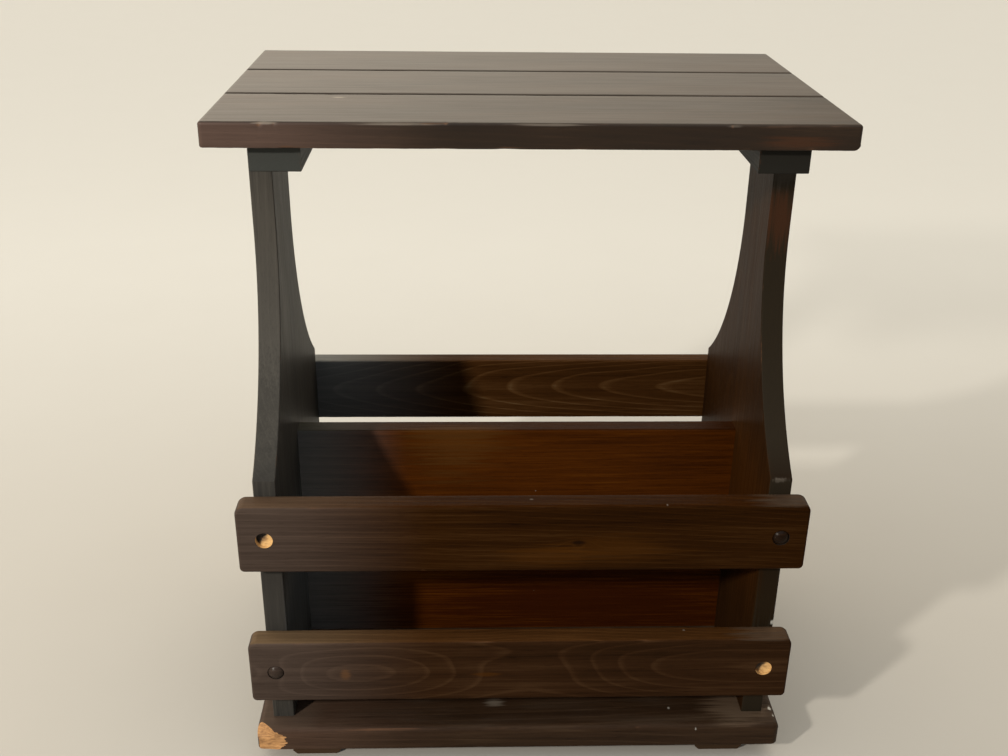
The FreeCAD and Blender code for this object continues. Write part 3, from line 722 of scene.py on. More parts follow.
for number, (place, free) in enumerate(FREE_SIDES.items()):
    low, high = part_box(f"top_board_{place}")
    bm = sawn_block(low, high)
    joints = [side for side in FACES if side not in free]
    if place == "front":
        round_over(bm, edges_of(bm, [DOWN], [RIGHT]), LOW_CORNER, steps=6)
    if free:
        round_over(bm, edges_of(bm, ENDS, free), END_CORNER, steps=5)
    outside = [edge for edge in edges_of(bm, [UP]) if not any(meets(edge, side) for side in joints)]
    round_over(bm, outside, TOP_ROUND, steps=5)
    grooves = [edge for edge in edges_of(bm, joints)
               if min(vert.co.z for vert in edge.verts) > high.z - GROOVE_REACH]
    round_over(bm, grooves, GROOVE_BEVEL, steps=2)
    below = [edge for edge in edges_of(bm, [DOWN]) if not meets(edge, RIGHT)]
    round_over(bm, below, LOWER_EASE, steps=2)
    step, dent, knocks = FRONT_WEAR if place == "front" else OTHER_WEAR
    slice_along(bm, X, low, high, step, knocks)
    wear_edges(bm, low, high, TOP_RUB, dent, seed=3.7 * number, knocks=knocks, joints=joints)
    finish = stained_wood(
        f"top_stain_{place}", middle(low, high), "XYZ", TOP_LOGS[place] | TOP_GRAIN, TOP_STAIN,
        gloss=0.39, shine=0.17, edge_tone=TOP_EDGE, **TOP_LOOKS[place])
    settle(as_piece(f"top_plank_{place}", bm, finish), f"top_board_{place}")

# %% [markdown]
# ## Battens and feet
# Flat battens run from front to back, two under the top and two under the base. The upper pair is
# only eased along its lower edges. Each is drilled for the screws that hold it: a hole could be a
# dark spot in the stain, but a real one takes the screw's head and shades itself.

# %% Battens
# The battens' neutral grey is stain and painted sheen together.
BATTEN_STAIN_AND_SHEEN = [(0.011, 0.0105, 0.010), (0.018, 0.017, 0.0155), (0.032, 0.028, 0.025)]
BATTEN_END = {"left": (0.045, 0.047, 0.043), "right": (0.018, 0.0165, 0.0135)}
HEAD_HOLE, HEAD_DEPTH, HOLE_SIDES = 4.3 * MM, 3 * MM, 24
BOARD_STEP, NECK_SCREW, BATTEN_LEVEL = 0.0843, 0.019, 0.4695
BATTEN_EASE, BATTEN_SLICE = 1.0 * MM, 8 * MM
drilled_wood = bare_wood("drilled_wood", (0, 0, 0), "YXZ", pale=(0.10, 0.06, 0.03),
                         deep=(0.05, 0.03, 0.015))


def screw_holes(piece, points, axis):
    drilled(piece, points, axis, HEAD_HOLE, HEAD_DEPTH, drilled_wood, HOLE_SIDES)


for side, name in SIDES:
    low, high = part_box(f"top_batten_{name}")
    bm = sawn_block(low, high)
    round_over(bm, edges_of(bm, [DOWN]), BATTEN_EASE, steps=3)
    slice_along(bm, Y, low, high, BATTEN_SLICE)
    wear_edges(bm, low, high, reach=1.2 * MM, dent=0.25 * MM, seed=11 + side.x)
    log = dict(heart=(0.05 * side.x, 0.04), lean=0.03, bow=0.0, sway=0.008, ring=0.004, figure=0.15)
    centre = middle(low, high)
    finish = stained_wood(
        f"batten_stain_{name}", centre, "YXZ", log, [BATTEN_END[name], *BATTEN_STAIN_AND_SHEEN], gloss=0.42)
    batten = as_piece(f"batten_{name}", bm, finish)
    screw_holes(batten, [Vector((centre.x, step * BOARD_STEP, low.z)) for step in (-1, 0, 1)], DOWN)
    inner = centre.x - side.x * (high.x - low.x) / 2
    screw_holes(batten, [Vector((inner, way * NECK_SCREW, BATTEN_LEVEL)) for way in BOTH], -side)
    settle(batten, f"top_batten_{name}")

# %% [markdown]
# The feet are wider and thinner, with a broad flat bevel along the floor. A bevel of one step is a
# plane cut, and more steps would make a round. They are stained the palest of the boards, and paler
# still on the left: painted light, which lifts them out of the shade under the base.

# %% Feet
# A pale stain, paler still on the left, is painted light on the feet.
FOOT_STAIN_AND_LIGHT = [(0.045, 0.026, 0.014), (0.065, 0.036, 0.019), (0.090, 0.052, 0.029), (0.130, 0.080, 0.048)]
FOOT_LIGHT = (0.130, 0.078, 0.052), (0.210, 0.130, 0.088), -0.16, 0.0, 0.9
FOOT_SCREW, FOOT_BEVEL = 0.07975, 3 * MM

for side, name in SIDES:
    low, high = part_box(f"foot_{name}")
    bm = sawn_block(low, high)
    round_over(bm, edges_of(bm, [DOWN], ENDS), FOOT_BEVEL, steps=1)
    slice_along(bm, Y, low, high, BATTEN_SLICE)
    wear_edges(bm, low, high, reach=1.5 * MM, dent=0.0, seed=21 + side.x)
    log = dict(heart=(0.03 * side.x, 0.05), lean=0.04, bow=0.0, sway=0.008, ring=0.0045, figure=0.35)
    centre = middle(low, high)
    finish = stained_wood(
        f"foot_stain_{name}", centre, "YXZ", log, FOOT_STAIN_AND_LIGHT, gloss=0.46, painted_light=FOOT_LIGHT)
    foot = as_piece(f"runner_{name}", bm, finish)
    screw_holes(foot, [Vector((centre.x, way * FOOT_SCREW, low.z)) for way in BOTH], DOWN)
    settle(foot, f"foot_{name}")

# %% [markdown]
# ## The side panels
# Each panel was bandsawn: a narrow neck, a hollow curve that leaves the neck smoothly, a sharp
# shoulder and a wide foot. The curve is one arc, tangent to the neck, so its radius follows from
# how far it reaches and how far it falls. The two panels differ in colour: the left one is grey, and
# the right one, in the shade, is brown. Low on the left one's inner face, in the pocket, a paler grey
# is painted in, a painted sheen over the shade.

# %% Looks of the panels
PANEL_LOOKS = {
    "left": dict(
        stain=[(0.028, 0.026, 0.0235), (0.053, 0.048, 0.041), (0.078, 0.070, 0.060),
               (0.110, 0.099, 0.085)],
        # The first mark is a painted sheen over the shade: a paler grey low on the inner face, in the
        # pocket. The others make the neck paler and the front edge darker low down.
        marks=[
            ((-173, -50, 110), (2, 120, 90), (0.125, 0.128, 0.124, 1), 0.65),
            ((-181, -45, 360), (30, 50, 110), (0.115, 0.103, 0.088, 1), 0.3),
            ((-181, -115.8, 150), (30, 6, 160), (0.032, 0.029, 0.026, 1), 0.65)]),
    "right": dict(
        stain=[(0.010, 0.004, 0.0015), (0.026, 0.0105, 0.003), (0.044, 0.019, 0.006),
               (0.075, 0.040, 0.018)],
        shine=0.022,
        edge_tone=("Y", (0.0215, 0.0165, 0.0105, 1), 0.9),
        marks=[
            ((181, -35, 407), (12, 6, 31), (0.060, 0.023, 0.011, 1), 0.65),
            ((181, -35, 439), (12, 6, 15), (0.038, 0.032, 0.0255, 1), 0.9),
            ((173, -40, 180), (6, 120, 85), (0.043, 0.0137, 0.002, 1), 0.7),
            ((181, -115.8, 145), (20, 6, 60), (0.013, 0.0065, 0.0022, 1), 0.7),
            ((188, -115.8, 119), (1.6, 2, 2.6), PAINT_SPECK, 0.9),
            ((180, -115.5, 241.5), (7, 2, 2.5), SCUFF, 0.22)]),
}
print("looks for the panels", *PANEL_LOOKS)

# %% [markdown]
# The outline is pushed out to the board's thickness, and its edges are eased a little. A block cut
# with a curved tool would give the same board, but the outline says its shape outright.

# %% Panels
SHOULDER_LEVEL, NECK_LEVEL, NECK_HALF = 0.242, 0.3965, 0.035
PANEL_EASE, PANEL_SLICE, ARC_STEPS = 1.0 * MM, 8 * MM, 40


def panel_outline(low, high):
    """The panel's outline from the foot round to the foot again, as (y, z) points."""
    reach, fall = high.y - NECK_HALF, NECK_LEVEL - SHOULDER_LEVEL
    radius = (reach**2 + fall**2) / (2 * reach)
    sweep = math.asin(fall / radius)
    angles = [sweep * step / ARC_STEPS for step in range(ARC_STEPS + 1)]
    hollow = [(NECK_HALF + radius * (1 - math.cos(a)), NECK_LEVEL - radius * math.sin(a))
              for a in angles]
    right = [(high.y, low.z)] + hollow[::-1] + [(NECK_HALF, high.z)]
    return right + [(-y, z) for y, z in right[::-1]]


for side, name in SIDES:
    low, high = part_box(f"side_panel_{name}")
    bm = bmesh.new()
    face = bm.faces.new([bm.verts.new((low.x, y, z)) for y, z in panel_outline(low, high)])
    grown = bmesh.ops.extrude_face_region(bm, geom=[face])["geom"]
    pushed = [part for part in grown if isinstance(part, bmesh.types.BMVert)]
    bmesh.ops.translate(bm, vec=(high.x - low.x, 0, 0), verts=pushed)
    bmesh.ops.recalc_face_normals(bm, faces=bm.faces[:])
    bm.normal_update()
    rims = [edge for edge in edges_of(bm, ENDS) if not meets(edge, UP) and not meets(edge, DOWN)]
    round_over(bm, rims, PANEL_EASE, steps=3)
    slice_along(bm, Z, low, high, PANEL_SLICE)
    layer = bm.verts.layers.float.new("wear")
    for vert in bm.verts:
        depth = min(vert.co.x - low.x, high.x - vert.co.x)
        rub = noise.noise(vert.co * 30 + Vector((31, 0, side.x))) + 0.5 * noise.noise(vert.co * 120)
        vert[layer] = max(0.0, 0.25 + 0.5 * rub) if 0.05 * MM < depth < 0.95 * PANEL_EASE else 0.0
    log = dict(heart=(0.02 * side.x, -0.09 * side.x), lean=0.06 * side.x, bow=0.03, sway=0.014,
               ring=0.0055, figure=0.14, streak=0.18, relief=0.2)
    finish = stained_wood(
        f"panel_stain_{name}", middle(low, high), "ZYX", log, gloss=0.38, **PANEL_LOOKS[name])
    settle(as_piece(f"panel_{name}", bm, finish), f"side_panel_{name}")

# %% [markdown]
# ## The divider
# A plain wide board between the pockets, rounded along its top, in a warm stain. Its left end is
# painted a paler grey, a painted sheen over the shade there, and a paler gold is painted into the lit
# part beside the shadow's edge. Its top strip is darker, a painted shade, and a dark band low on its
# front is painted shade where the upper slat's shadow falls. Its ends and its foot are hidden in
# the joints. To keep wear off them, the box that wear is measured from is made larger there.

# %% Divider
DIVIDER_STAIN = [(0.023, 0.0054, 0.0003), (0.060, 0.0152, 0.0009), (0.094, 0.0295, 0.0027),
                 (0.140, 0.060, 0.014)]
# Painted light: the first mark is painted shade low on the front, where the upper slat's shadow falls;
# the second is a painted sheen, paler gold beside the shadow's edge.
DIVIDER_PAINTED_LIGHT = [((60, -8, 60), (200, 12, 50), (0.026, 0.0050, 0.0009, 1), 0.8),
                 ((-50, -8, 250), (55, 12, 80), (0.092, 0.0380, 0.0080, 1), 0.5)]
# Painted sheen over the shade: a paler grey towards the left end.
DIVIDER_SHEEN = (0.095, 0.095, 0.092), (0.150, 0.149, 0.144), -0.185, -0.083, 0.9
# The first value darkens the divider's top strip: painted shade.
DIVIDER_TOP_SHADE, DIVIDER_ROUND, DIVIDER_SLICE = (0.6, 0.6, 0.5, 1), 1.5 * MM, 8 * MM
HIDDEN_LOW, HIDDEN_HIGH = Vector((0.01, 0, 0.01)), Vector((0.01, 0, 0))

low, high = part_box("divider")
bm = sawn_block(low, high)
round_over(bm, edges_of(bm, [UP], FACES), DIVIDER_ROUND, steps=4)
slice_along(bm, X, low, high, DIVIDER_SLICE)
wear_edges(bm, low - HIDDEN_LOW, high + HIDDEN_HIGH, reach=1.5 * MM, dent=0.2 * MM, seed=41)
divider_log = dict(heart=(0.12, -0.05), lean=0.04, bow=0.12, sway=0.02, ring=0.0062, figure=0.12,
                   streak=0.18, fibre=0.24)
divider_stain = stained_wood(
    "divider_stain", middle(low, high), "XZY", divider_log, DIVIDER_STAIN, marks=DIVIDER_PAINTED_LIGHT,
    painted_light=DIVIDER_SHEEN, paint_light_on_front=True, upper=DIVIDER_TOP_SHADE)
settle(as_piece("divider_board", bm, divider_stain), "divider")

# %% [markdown]
# ## The slats
# Four slats are screwed to the panels' edges, and show the liveliest grain of the table. One of the
# front ones has a knot, and the other swells where its log grew a branch. As with the top, a table
# holds what is special to each.

# %% Looks of the slats
LOWER_STAIN = [(0.009, 0.0037, 0.0013), (0.026, 0.0108, 0.004), (0.046, 0.022, 0.0092),
               (0.092, 0.056, 0.033)]
# Painted sheen: the slats turn paler and greyer towards the left end.
SLAT_SHEEN = (0.046, 0.032, 0.025), (0.088, 0.064, 0.052), -0.195, -0.06, 0.85
# Painted sheen over the shade: the back slats' inner faces turn a pale grey towards the left end.
BACK_SHEEN = (0.160, 0.168, 0.163), (0.255, 0.262, 0.253), -0.20, -0.04, 0.95
GOLDEN_STAIN, KNOT_TINT = (0.072, 0.0245, 0.003, 1), (0.008, 0.003, 0.001, 1)
UPPER_DUST, LOWER_DUST = (0.105, 0.085, 0.063, 1), (0.115, 0.093, 0.069, 1)
PALE_SPOT = 0.11, 0.052, 0.022, 1
SLAT_LOOKS = {
    "front_slat_upper": dict(
        log=dict(heart=(0.075, 0.050), lean=0.05, bow=0.12, sway=0.020, ring=0.0033, figure=0.24,
                 knots=[(0.039, -0.0035, 0.0045, 0.006)]),
        stain=[(0.007, 0.0022, 0.0004), (0.021, 0.007, 0.0011), (0.039, 0.016, 0.0042),
               (0.085, 0.047, 0.020)],
        painted_light=SLAT_SHEEN,
        # Painted light: this slat's top and bottom faces are made lighter and warmer.
        upper=(1.35, 1.20, 0.95, 1),
        marks=[
            ((65, -131.7, 196), (60, 4, 14), GOLDEN_STAIN, 0.3),
            ((15, -131.7, 190), (45, 4, 10), GOLDEN_STAIN, 0.3),
            ((38, -131.7, 201.2), (6, 4, 2.2), KNOT_TINT, 0.8),
            ((5, -122, 230.7), (1.6, 1.1, 1), SCUFF, 0.4),
            ((99, -130, 230.5), (0.9, 1.1, 1), SCUFF, 0.5),
            ((188, -122, 231), (30, 18, 4), UPPER_DUST, 0.3)]),
    "front_slat_lower": dict(
        log=dict(heart=(0.001, 0.030), lean=0.0, bow=0.0, sway=0.014, ring=0.0024, figure=0.26,
                 swells=[(0.005, 0.0, 0.030, 0.011), (-0.205, 0.0, 0.019, 0.010)]),
        stain=LOWER_STAIN,
        painted_light=SLAT_SHEEN,
        # Painted light: this slat's top and bottom faces are made lighter and warmer.
        upper=(1.8, 1.65, 1.15, 1),
        marks=[
            ((-130, -131.7, 87.5), (5, 4, 7), PALE_SPOT, 0.6),
            ((-26, -131.7, 85.5), (12, 4, 3), GOLDEN_STAIN, 0.4),
            ((121, -120, 115.7), (1.2, 1, 1), SCUFF, 0.5),
            ((184, -122, 115.8), (30, 18, 4), LOWER_DUST, 0.26)]),
    "back_slat_upper": dict(
        log=dict(heart=(0.002, -0.040), lean=-0.07, bow=0.06, sway=0.014, ring=0.003, figure=0.42),
        stain=[(0.018, 0.0065, 0.0016), (0.047, 0.018, 0.0045), (0.078, 0.035, 0.011),
               (0.140, 0.085, 0.038)],
        painted_light=BACK_SHEEN),
    "back_slat_lower": dict(
        log=dict(heart=(-0.010, -0.050), lean=-0.05, bow=0.06, sway=0.010, ring=0.0048, figure=0.40),
        stain=LOWER_STAIN,
        painted_light=BACK_SHEEN),
}
print("looks for the slats", *SLAT_LOOKS)

# %% [markdown]
# Each screw sits in a wide flat-bottomed hole that a plug should cover. Two front plugs have broken
# off inside their holes, so the pale wood of the stub shows a little below the face. The break is
# cut with a peg whose end is tilted and made ragged with noise.

# %% Broken plugs
PLUG_HOLE, PLUG_HOLE_DEPTH = 6.1 * MM, 9 * MM
STUB_DEPTH, STUB_SLANT, STUB_ROUGH, STUB_RINGS = 3.9 * MM, 2.7 * MM, 0.5 * MM, 6
SLAT_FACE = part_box("front_slat_upper")[0].y
# The stub's deep side is darkened by depth: painted shade where the hole's rim shades it.
stub_wood = bare_wood("stub_wood", (0, 0, 0), "XZY", pale=(0.58, 0.34, 0.125),
                      deep=(0.22, 0.085, 0.02), painted_shade=(SLAT_FACE + 3.0 * MM, SLAT_FACE + 4.8 * MM))
hole_wood = bare_wood("hole_wood", (0, 0, 0), "XZY", pale=(0.020, 0.011, 0.006),
                      deep=(0.010, 0.005, 0.003))


def broken_plug(piece, point):
    """Opens a front hole down to its plug's stub, which snapped aslant: deep on the upper left."""
    bm = bmesh.new()
    break_rings = [(PLUG_HOLE * ring / STUB_RINGS, -STUB_DEPTH) for ring in range(STUB_RINGS + 1)]
    peg = break_rings + [(PLUG_HOLE, STUB_DEPTH), (0, STUB_DEPTH)]
    turned(bm, peg, ROUND_SIDES, placing(point, FRONT))
    for vert in bm.verts:
        if vert.co.y > point.y:
            offset = (vert.co - point) / PLUG_HOLE
            ragged = noise.noise(vert.co * 420) + 0.5 * noise.noise(vert.co * 1300)
            vert.co.y -= STUB_SLANT * (0.8 * offset.x - 0.6 * offset.z) + STUB_ROUGH * ragged
    carve(piece, as_piece("stub", bm, stub_wood))


# %% [markdown]
# The ends of a slat are cut round, more so above than below. Then the router went round the outer
# face, and the inner edges are only eased.

# %% Slats
SLAT_CORNERS, OUTER_ROUND, INNER_EASE = ((UP, 6.5 * MM), (DOWN, 3.5 * MM)), 2 * MM, 1.5 * MM
OPEN_HOLES = {"front_slat_upper": -1, "front_slat_lower": 1}
PANEL_PLACE, SLAT_SLICE = 0.181, 6 * MM
SLAT_KNOCKS = {
    "front_slat_upper": [((-0.086, -0.1305, 0.1785), 0.0022, 0.0006),
                         ((-0.071, -0.1305, 0.1785), 0.0014, 0.0005),
                         ((0.186, -0.1305, 0.2295), 0.0015, 0.0004)],
    "front_slat_lower": [((-0.02, -0.1305, 0.0635), 0.0015, 0.0004)],
}

for number, (name, look) in enumerate(SLAT_LOOKS.items()):
    outward = FRONT if name.startswith("front") else BACK
    low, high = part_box(name)
    bm = sawn_block(low, high)
    for side, radius in SLAT_CORNERS:
        round_over(bm, edges_of(bm, ENDS, [side]), radius, steps=9)
    round_over(bm, edges_of(bm, [outward]), OUTER_ROUND, steps=5)
    round_over(bm, edges_of(bm, [-outward]), INNER_EASE, steps=2)
    knocks = SLAT_KNOCKS.get(name, ())
    slice_along(bm, X, low, high, SLAT_SLICE, knocks)
    wear_edges(bm, low, high, reach=2 * MM, dent=0.25 * MM, seed=51 + 7 * number, knocks=knocks)
    centre = middle(low, high)
    finish = stained_wood(
        f"{name}_stain", centre, "XZY", shine=0.015, paint_light_on_front=outward is BACK, **look)
    piece = as_piece(f"{name}_board", bm, finish)
    outer = low.y if outward is FRONT else high.y
    for way in BOTH:
        hole = Vector((way * PANEL_PLACE, outer, centre.z))
        if OPEN_HOLES.get(name) == way:
            broken_plug(piece, hole)
        else:
            drilled(piece, [hole], outward, PLUG_HOLE, PLUG_HOLE_DEPTH, hole_wood)
    settle(piece, name)

# %% [markdown]
# ## The base
# The base is the widest board, with a bold round-over along its top. Dust gathers on it, thickest
# round the panels' feet, where a cloth does not reach. So the dust is a mask too, made from the
# distance to the two panels.

# %% Base
BASE_STAIN = [(0.012, 0.006, 0.003), (0.028, 0.0145, 0.0072), (0.047, 0.027, 0.0145),
              (0.084, 0.053, 0.033)]
# Painted sheen: the base turns paler towards the left end.
BASE_SHEEN = (0.045, 0.025, 0.0165), (0.095, 0.055, 0.037), -0.19, -0.04, 0.85
PANEL_SCREW, DIVIDER_SCREW = 0.07475, 0.110
BASE_SCREWS = [(x * PANEL_PLACE, y * PANEL_SCREW) for x in BOTH for y in BOTH]
BASE_SCREWS += [(x * DIVIDER_SCREW, 0) for x in BOTH]
BASE_CORNER, BASE_ROUND, BASE_EASE, BASE_SLICE = 5.4 * MM, 5 * MM, 1.0 * MM, 6 * MM
BASE_KNOCKS = [((0.09, -0.1310, 0.0305), 0.0022, 0.0006)]
SMEAR, FOOT_DUST = (0.20, 0.17, 0.135, 1), (0.115, 0.075, 0.047, 1)
BASE_MARKS = [((117, -111, 34), (1, 1.4, 1), PAINT_SPECK, 0.5),
              ((135, -131.7, 31), (1, 2, 1.3), PAINT_SPECK, 0.5),
              ((-19, -103, 34), (10, 5, 2), SMEAR, 0.5),
              ((-110, -128.7, 32.3), (55, 3, 0.9), WORN_STAIN, 0.8),
              ((170, -112, 34), (30, 22, 4), FOOT_DUST, 0.75),
              ((196, -112, 34), (1.5, 3, 2), PAINT_SPECK, 0.9),
              ((197, -120, 33), (1, 2, 2), PAINT_SPECK, 0.9)]
PANEL_HALF, PANEL_REACH = 0.008, 0.11575


def base_dust(space, along, across):
    """Dust lies thickest close to the panels, and thinly over the rest."""
    sideways, lengthways = abs(abs(along) - PANEL_PLACE) - PANEL_HALF, abs(across) - PANEL_REACH
    gap = maths("MAXIMUM", maths("MAXIMUM", sideways, lengthways), 0.0)
    drift = cloud(space, (16, 110, 110), detail=5)
    gap = (drift - 0.5) * 0.02 + gap
    thick = eased(gap, 0.030, 0.002) * eased(along, -0.15, 0.15, 0.20, 0.08)
    return maths("MAXIMUM", thick, eased(drift, 0.4, 0.8, 0.0, 0.10))


low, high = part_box("base_board")
bm = sawn_block(low, high)
round_over(bm, edges_of(bm, ENDS, FACES), BASE_CORNER, steps=6)
round_over(bm, edges_of(bm, [UP]), BASE_ROUND, steps=6)
round_over(bm, edges_of(bm, [DOWN]), BASE_EASE, steps=2)
slice_along(bm, X, low, high, BASE_SLICE, BASE_KNOCKS, margin=BASE_SLICE)
wear_edges(bm, low, high, reach=4 * MM, dent=0.35 * MM, seed=83, knocks=BASE_KNOCKS)
base_log = dict(heart=(-0.02, -0.09), lean=0.04, bow=0.05, sway=0.014, ring=0.0055, figure=0.22)
base_stain = stained_wood(
    "base_stain", middle(low, high), "XYZ", base_log, BASE_STAIN, gloss=0.42, shine=0.06,
    dust=base_dust, marks=BASE_MARKS, painted_light=BASE_SHEEN)
base = as_piece("base_plank", bm, base_stain)
print("base", [round(side, 3) for side in base.dimensions])

# %% [markdown]
# The base's front left corner has split away along the grain, and the raw wood shows, ragged where
# the fibres tore. The break is a tool of its own: a block whose inner face is a height map of the
# torn wood, deepest at the corner and running out in splinters. Cutting with it leaves its pale
# finish on the wound, which moving the base's own points would not.

# %% Broken corner
TEAR_LENGTH, TEAR_DEPTH, TEAR_BACK, TEAR_SIDE = 24 * MM, 2.4 * MM, 11 * MM, 14 * MM
TEAR_LEFT, TEAR_BELOW, TEAR_FRONT = 4 * MM, 3 * MM, 6 * MM
TEAR_CLEAR, TEAR_FIBRE, TEAR_LIFT = 1.5 * MM, 0.35 * MM, 0.5 * MM
TEAR_ROWS, TEAR_COLUMNS = 60, 96


def torn_depth(x, z, low, high):
    """How deep the break is behind the front face, at a place along and up the base's edge."""
    up = (z - low.z) / (high.z - low.z)
    splinter = noise.noise(Vector((5, 0, z * 300))) + 0.7 * noise.noise(Vector((9, x * 40, z * 1100)))
    bulge = math.sin(math.pi * min(1.0, max(0.0, up)) ** 0.8)
    run = (x - low.x) / (TEAR_LENGTH * (0.62 + 0.36 * bulge + 0.13 * splinter))
    if run >= 1:
        return -TEAR_CLEAR
    fibres = noise.noise(Vector((x * 120, 3, z * 500))) + noise.noise(Vector((x * 300, 7, z * 1300)))
    corner = TEAR_BACK * max(0.0, 1 - (x - low.x) / TEAR_SIDE) * max(0.0, up / 0.55 - 0.82) ** 1.2
    return TEAR_DEPTH * max(0.0, 1 - run) ** 0.45 + corner + TEAR_FIBRE * fibres - TEAR_LIFT


rows, columns = range(TEAR_ROWS), range(TEAR_COLUMNS)
width, height = TEAR_LENGTH * 1.5 + TEAR_LEFT, high.z - low.z + 2 * TEAR_BELOW
x_places = [low.x - TEAR_LEFT + width * c / TEAR_COLUMNS for c in range(TEAR_COLUMNS + 1)]
z_places = [low.z - TEAR_BELOW + height * r / TEAR_ROWS for r in range(TEAR_ROWS + 1)]
bm = bmesh.new()
inner = [[bm.verts.new((x, low.y + torn_depth(max(x, low.x), z, low, high), z)) for x in x_places]
         for z in z_places]
outer = [[bm.verts.new((x, low.y - TEAR_FRONT, z)) for x in x_places] for z in z_places]
for r in rows:
    for c in columns:
        for sheet in (inner, outer):
            bm.faces.new((sheet[r][c], sheet[r][c + 1], sheet[r + 1][c + 1], sheet[r + 1][c]))
for c in columns:
    for r in (0, TEAR_ROWS):
        bm.faces.new((inner[r][c], inner[r][c + 1], outer[r][c + 1], outer[r][c]))
for r in rows:
    for c in (0, TEAR_COLUMNS):
        bm.faces.new((inner[r][c], inner[r + 1][c], outer[r + 1][c], outer[r][c]))
torn_wood = bare_wood("torn_wood", (0, 0, 0), "XYZ", pale=(0.40, 0.198, 0.070),
                      deep=(0.17, 0.075, 0.024))
carve(base, as_piece("break", bm, torn_wood))
screw_holes(base, [Vector((x, y, low.z)) for x, y in BASE_SCREWS], DOWN)
settle(base, "base_board")

# %% [markdown]
# ## Plugs
# A plug is a short turned peg with a domed end, glued in over a screw and stained with the rest.
# The dome stands a little proud, so it catches the lamp. Two are left in front and four behind. The
# dome is a slice of a ball whose radius follows from the peg's width and the dome's height, because
# a half ball would stand out too far.

# %% Plugs
PLUG_STAIN = [(0.005, 0.0018, 0.0004), (0.010, 0.0038, 0.0010), (0.018, 0.0072, 0.0020),
              (0.040, 0.022, 0.010)]
PLUG_RADIUS, PLUG_LENGTH, PLUG_DOME, DOME_STEPS = 6 * MM, 5.4 * MM, 3.5 * MM, 12
# The first value is the strength of a painted sheen: the plugs turn paler towards the left end, as the
# slats do.
PLUG_SHEEN, PLUG_STEPS = 0.45, 48


def plug_profile():
    """A peg whose end is a slice of a ball."""
    ball = (PLUG_RADIUS**2 + PLUG_DOME**2) / (2 * PLUG_DOME)
    half = math.asin(PLUG_RADIUS / ball)
    angles = [half * (1 - step / DOME_STEPS) for step in range(DOME_STEPS + 1)]
    dome = [(ball * math.sin(a), PLUG_DOME - ball * (1 - math.cos(a))) for a in angles]
    return [(0, -PLUG_LENGTH), (PLUG_RADIUS, -PLUG_LENGTH)] + dome


for node_name, outward in (("front_plugs", FRONT), ("back_plugs", BACK)):
    low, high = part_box(node_name)
    left, right = low.x + PLUG_RADIUS, high.x - PLUG_RADIUS
    lower, upper = low.z + PLUG_RADIUS, high.z - PLUG_RADIUS
    if outward is FRONT:
        face, places = low.y + PLUG_DOME, [(left, lower), (right, upper)]
    else:
        face, places = high.y - PLUG_DOME, [(x, z) for x in (left, right) for z in (lower, upper)]
    bm = bmesh.new()
    for x, z in places:
        turned(bm, plug_profile(), PLUG_STEPS, placing(Vector((x, face, z)), outward))
    log = dict(heart=(0.0, 0.02), lean=0.0, bow=0.0, sway=0.004, ring=0.003, figure=0.3)
    finish = stained_wood(
        f"{node_name}_stain", middle(low, high), "XZY", log, PLUG_STAIN, gloss=0.24, shine=0.09,
        painted_light=(*SLAT_SHEEN[:4], PLUG_SHEEN))
    settle(as_piece(f"{node_name}_turned", bm, finish), node_name)

# %% [markdown]
# ## Screws and dowels
# The screws are old and dull, so their steel is a dark metal whose colour and roughness both vary a
# little. An even metal would look new.

# %% Steel
steel, tree = new_material("dull_steel")
place = wire(tree, "TexCoord", out="Object")
scratch = cloud(place, (900, 900, 900), detail=3)
tarnish = cloud(place, (260, 260, 260), detail=3)
steel_colour = ramp(tarnish, [(0.35, (0.035, 0.028, 0.022)), (0.6, (0.09, 0.085, 0.078))])
surface(tree, Base_Color=steel_colour, Metallic=1.0, Roughness=scratch * 0.3 + 0.25)
print("finish", steel.name)

# %% [markdown]
# One screw is turned from a profile, and a cross is cut into its head with two small blocks. Threads
# are left out, because the wood hides them.

# %% One screw
HEAD_RADIUS, HEAD_HEIGHT, SHANK_RADIUS, SHANK_LENGTH = 4 * MM, 2.4 * MM, 2 * MM, 22 * MM
SCREW_PROFILE = [(0, -SHANK_LENGTH), (0.5 * MM, -SHANK_LENGTH + 1 * MM),
                 (SHANK_RADIUS, -SHANK_LENGTH + 4 * MM), (SHANK_RADIUS, 0), (HEAD_RADIUS * 0.96, 0),
                 (HEAD_RADIUS, 0.25 * MM), (HEAD_RADIUS, 1.1 * MM), (HEAD_RADIUS * 0.86, 1.8 * MM),
                 (HEAD_RADIUS * 0.55, 2.25 * MM), (0, HEAD_HEIGHT)]
CROSS_LOW, CROSS_HIGH = (-2.3 * MM, -0.5 * MM, 1.2 * MM), (2.3 * MM, 0.5 * MM, 4 * MM)
CROSS_TURN, SCREW_STEPS = 0.4, 32
bm = bmesh.new()
turned(bm, SCREW_PROFILE, SCREW_STEPS, Matrix.Identity(4))
pattern = as_piece("screw_pattern", bm, steel)
for turn in (0, math.pi / 2):
    bm = sawn_block(CROSS_LOW, CROSS_HIGH)
    bmesh.ops.rotate(bm, matrix=Matrix.Rotation(turn + CROSS_TURN, 3, "Z"), verts=bm.verts[:])
    carve(pattern, as_piece("cross_bit", bm, steel))
print("screw", len(pattern.data.vertices), "points")

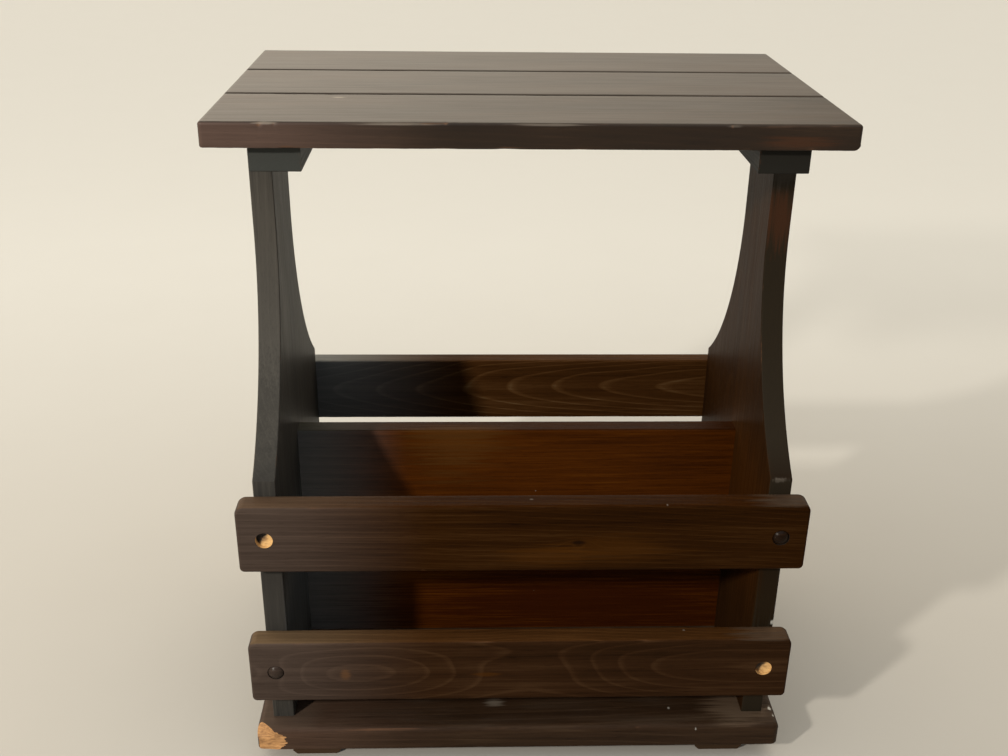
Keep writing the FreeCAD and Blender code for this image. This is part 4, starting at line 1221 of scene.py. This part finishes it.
# %% [markdown]
# Every group in the table is copies of that screw, each placed on its seat and driven along its axis.
# A group is one mesh, as in the measured frame, so the copies are added to one mesh and not linked.

# %% Screw groups
BATTEN_PLACE, NECK_SEAT, SLAT_SEAT = 0.157, 0.144, 0.12275
BOARD_SEAT, BASE_SEAT, FOOT_SEAT = 0.464, 0.018, 0.003
FRONT_LEVELS, BACK_LEVELS, BOARDS = (0.089, 0.204), (0.0835, 0.201), (-1, 0, 1)
SCREW_SEATS = {
    "front_slat_screws": [((x * PANEL_PLACE, -SLAT_SEAT, z), BACK) for x in BOTH for z in FRONT_LEVELS],
    "back_slat_screws": [((x * PANEL_PLACE, SLAT_SEAT, z), FRONT) for x in BOTH for z in BACK_LEVELS],
    "board_screws": [((x * BATTEN_PLACE, y * BOARD_STEP, BOARD_SEAT), UP)
                     for x in BOTH for y in BOARDS],
    "neck_screws": [((x * NECK_SEAT, y * NECK_SCREW, BATTEN_LEVEL), RIGHT * x)
                    for x in BOTH for y in BOTH],
    "base_panel_screws": [((x, y, BASE_SEAT), UP) for x, y in BASE_SCREWS[:4]],
    "base_divider_screws": [((x, y, BASE_SEAT), UP) for x, y in BASE_SCREWS[4:]],
    "foot_screws": [((x * BATTEN_PLACE, y * FOOT_SCREW, FOOT_SEAT), UP) for x in BOTH for y in BOTH],
}
for node_name, seats in SCREW_SEATS.items():
    bm = bmesh.new()
    for point, drive in seats:
        before = len(bm.verts)
        bm.from_mesh(pattern.data)
        bm.verts.ensure_lookup_table()
        bmesh.ops.transform(bm, matrix=placing(Vector(point), -drive), verts=bm.verts[before:])
    settle(as_piece(f"{node_name}_steel", bm, steel), node_name)
bpy.data.meshes.remove(pattern.data)

# %% [markdown]
# The dowels stay as measured, because nothing shows of them. They only get their wood.

# %% Dowels
dowel_wood = bare_wood("dowel_wood", (0, 0, 0), "XYZ")
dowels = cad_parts["divider_dowels"]
dowels.data.materials.clear()
dowels.data.materials.append(dowel_wood)
print("dowels", [round(side, 3) for side in dowels.dimensions])
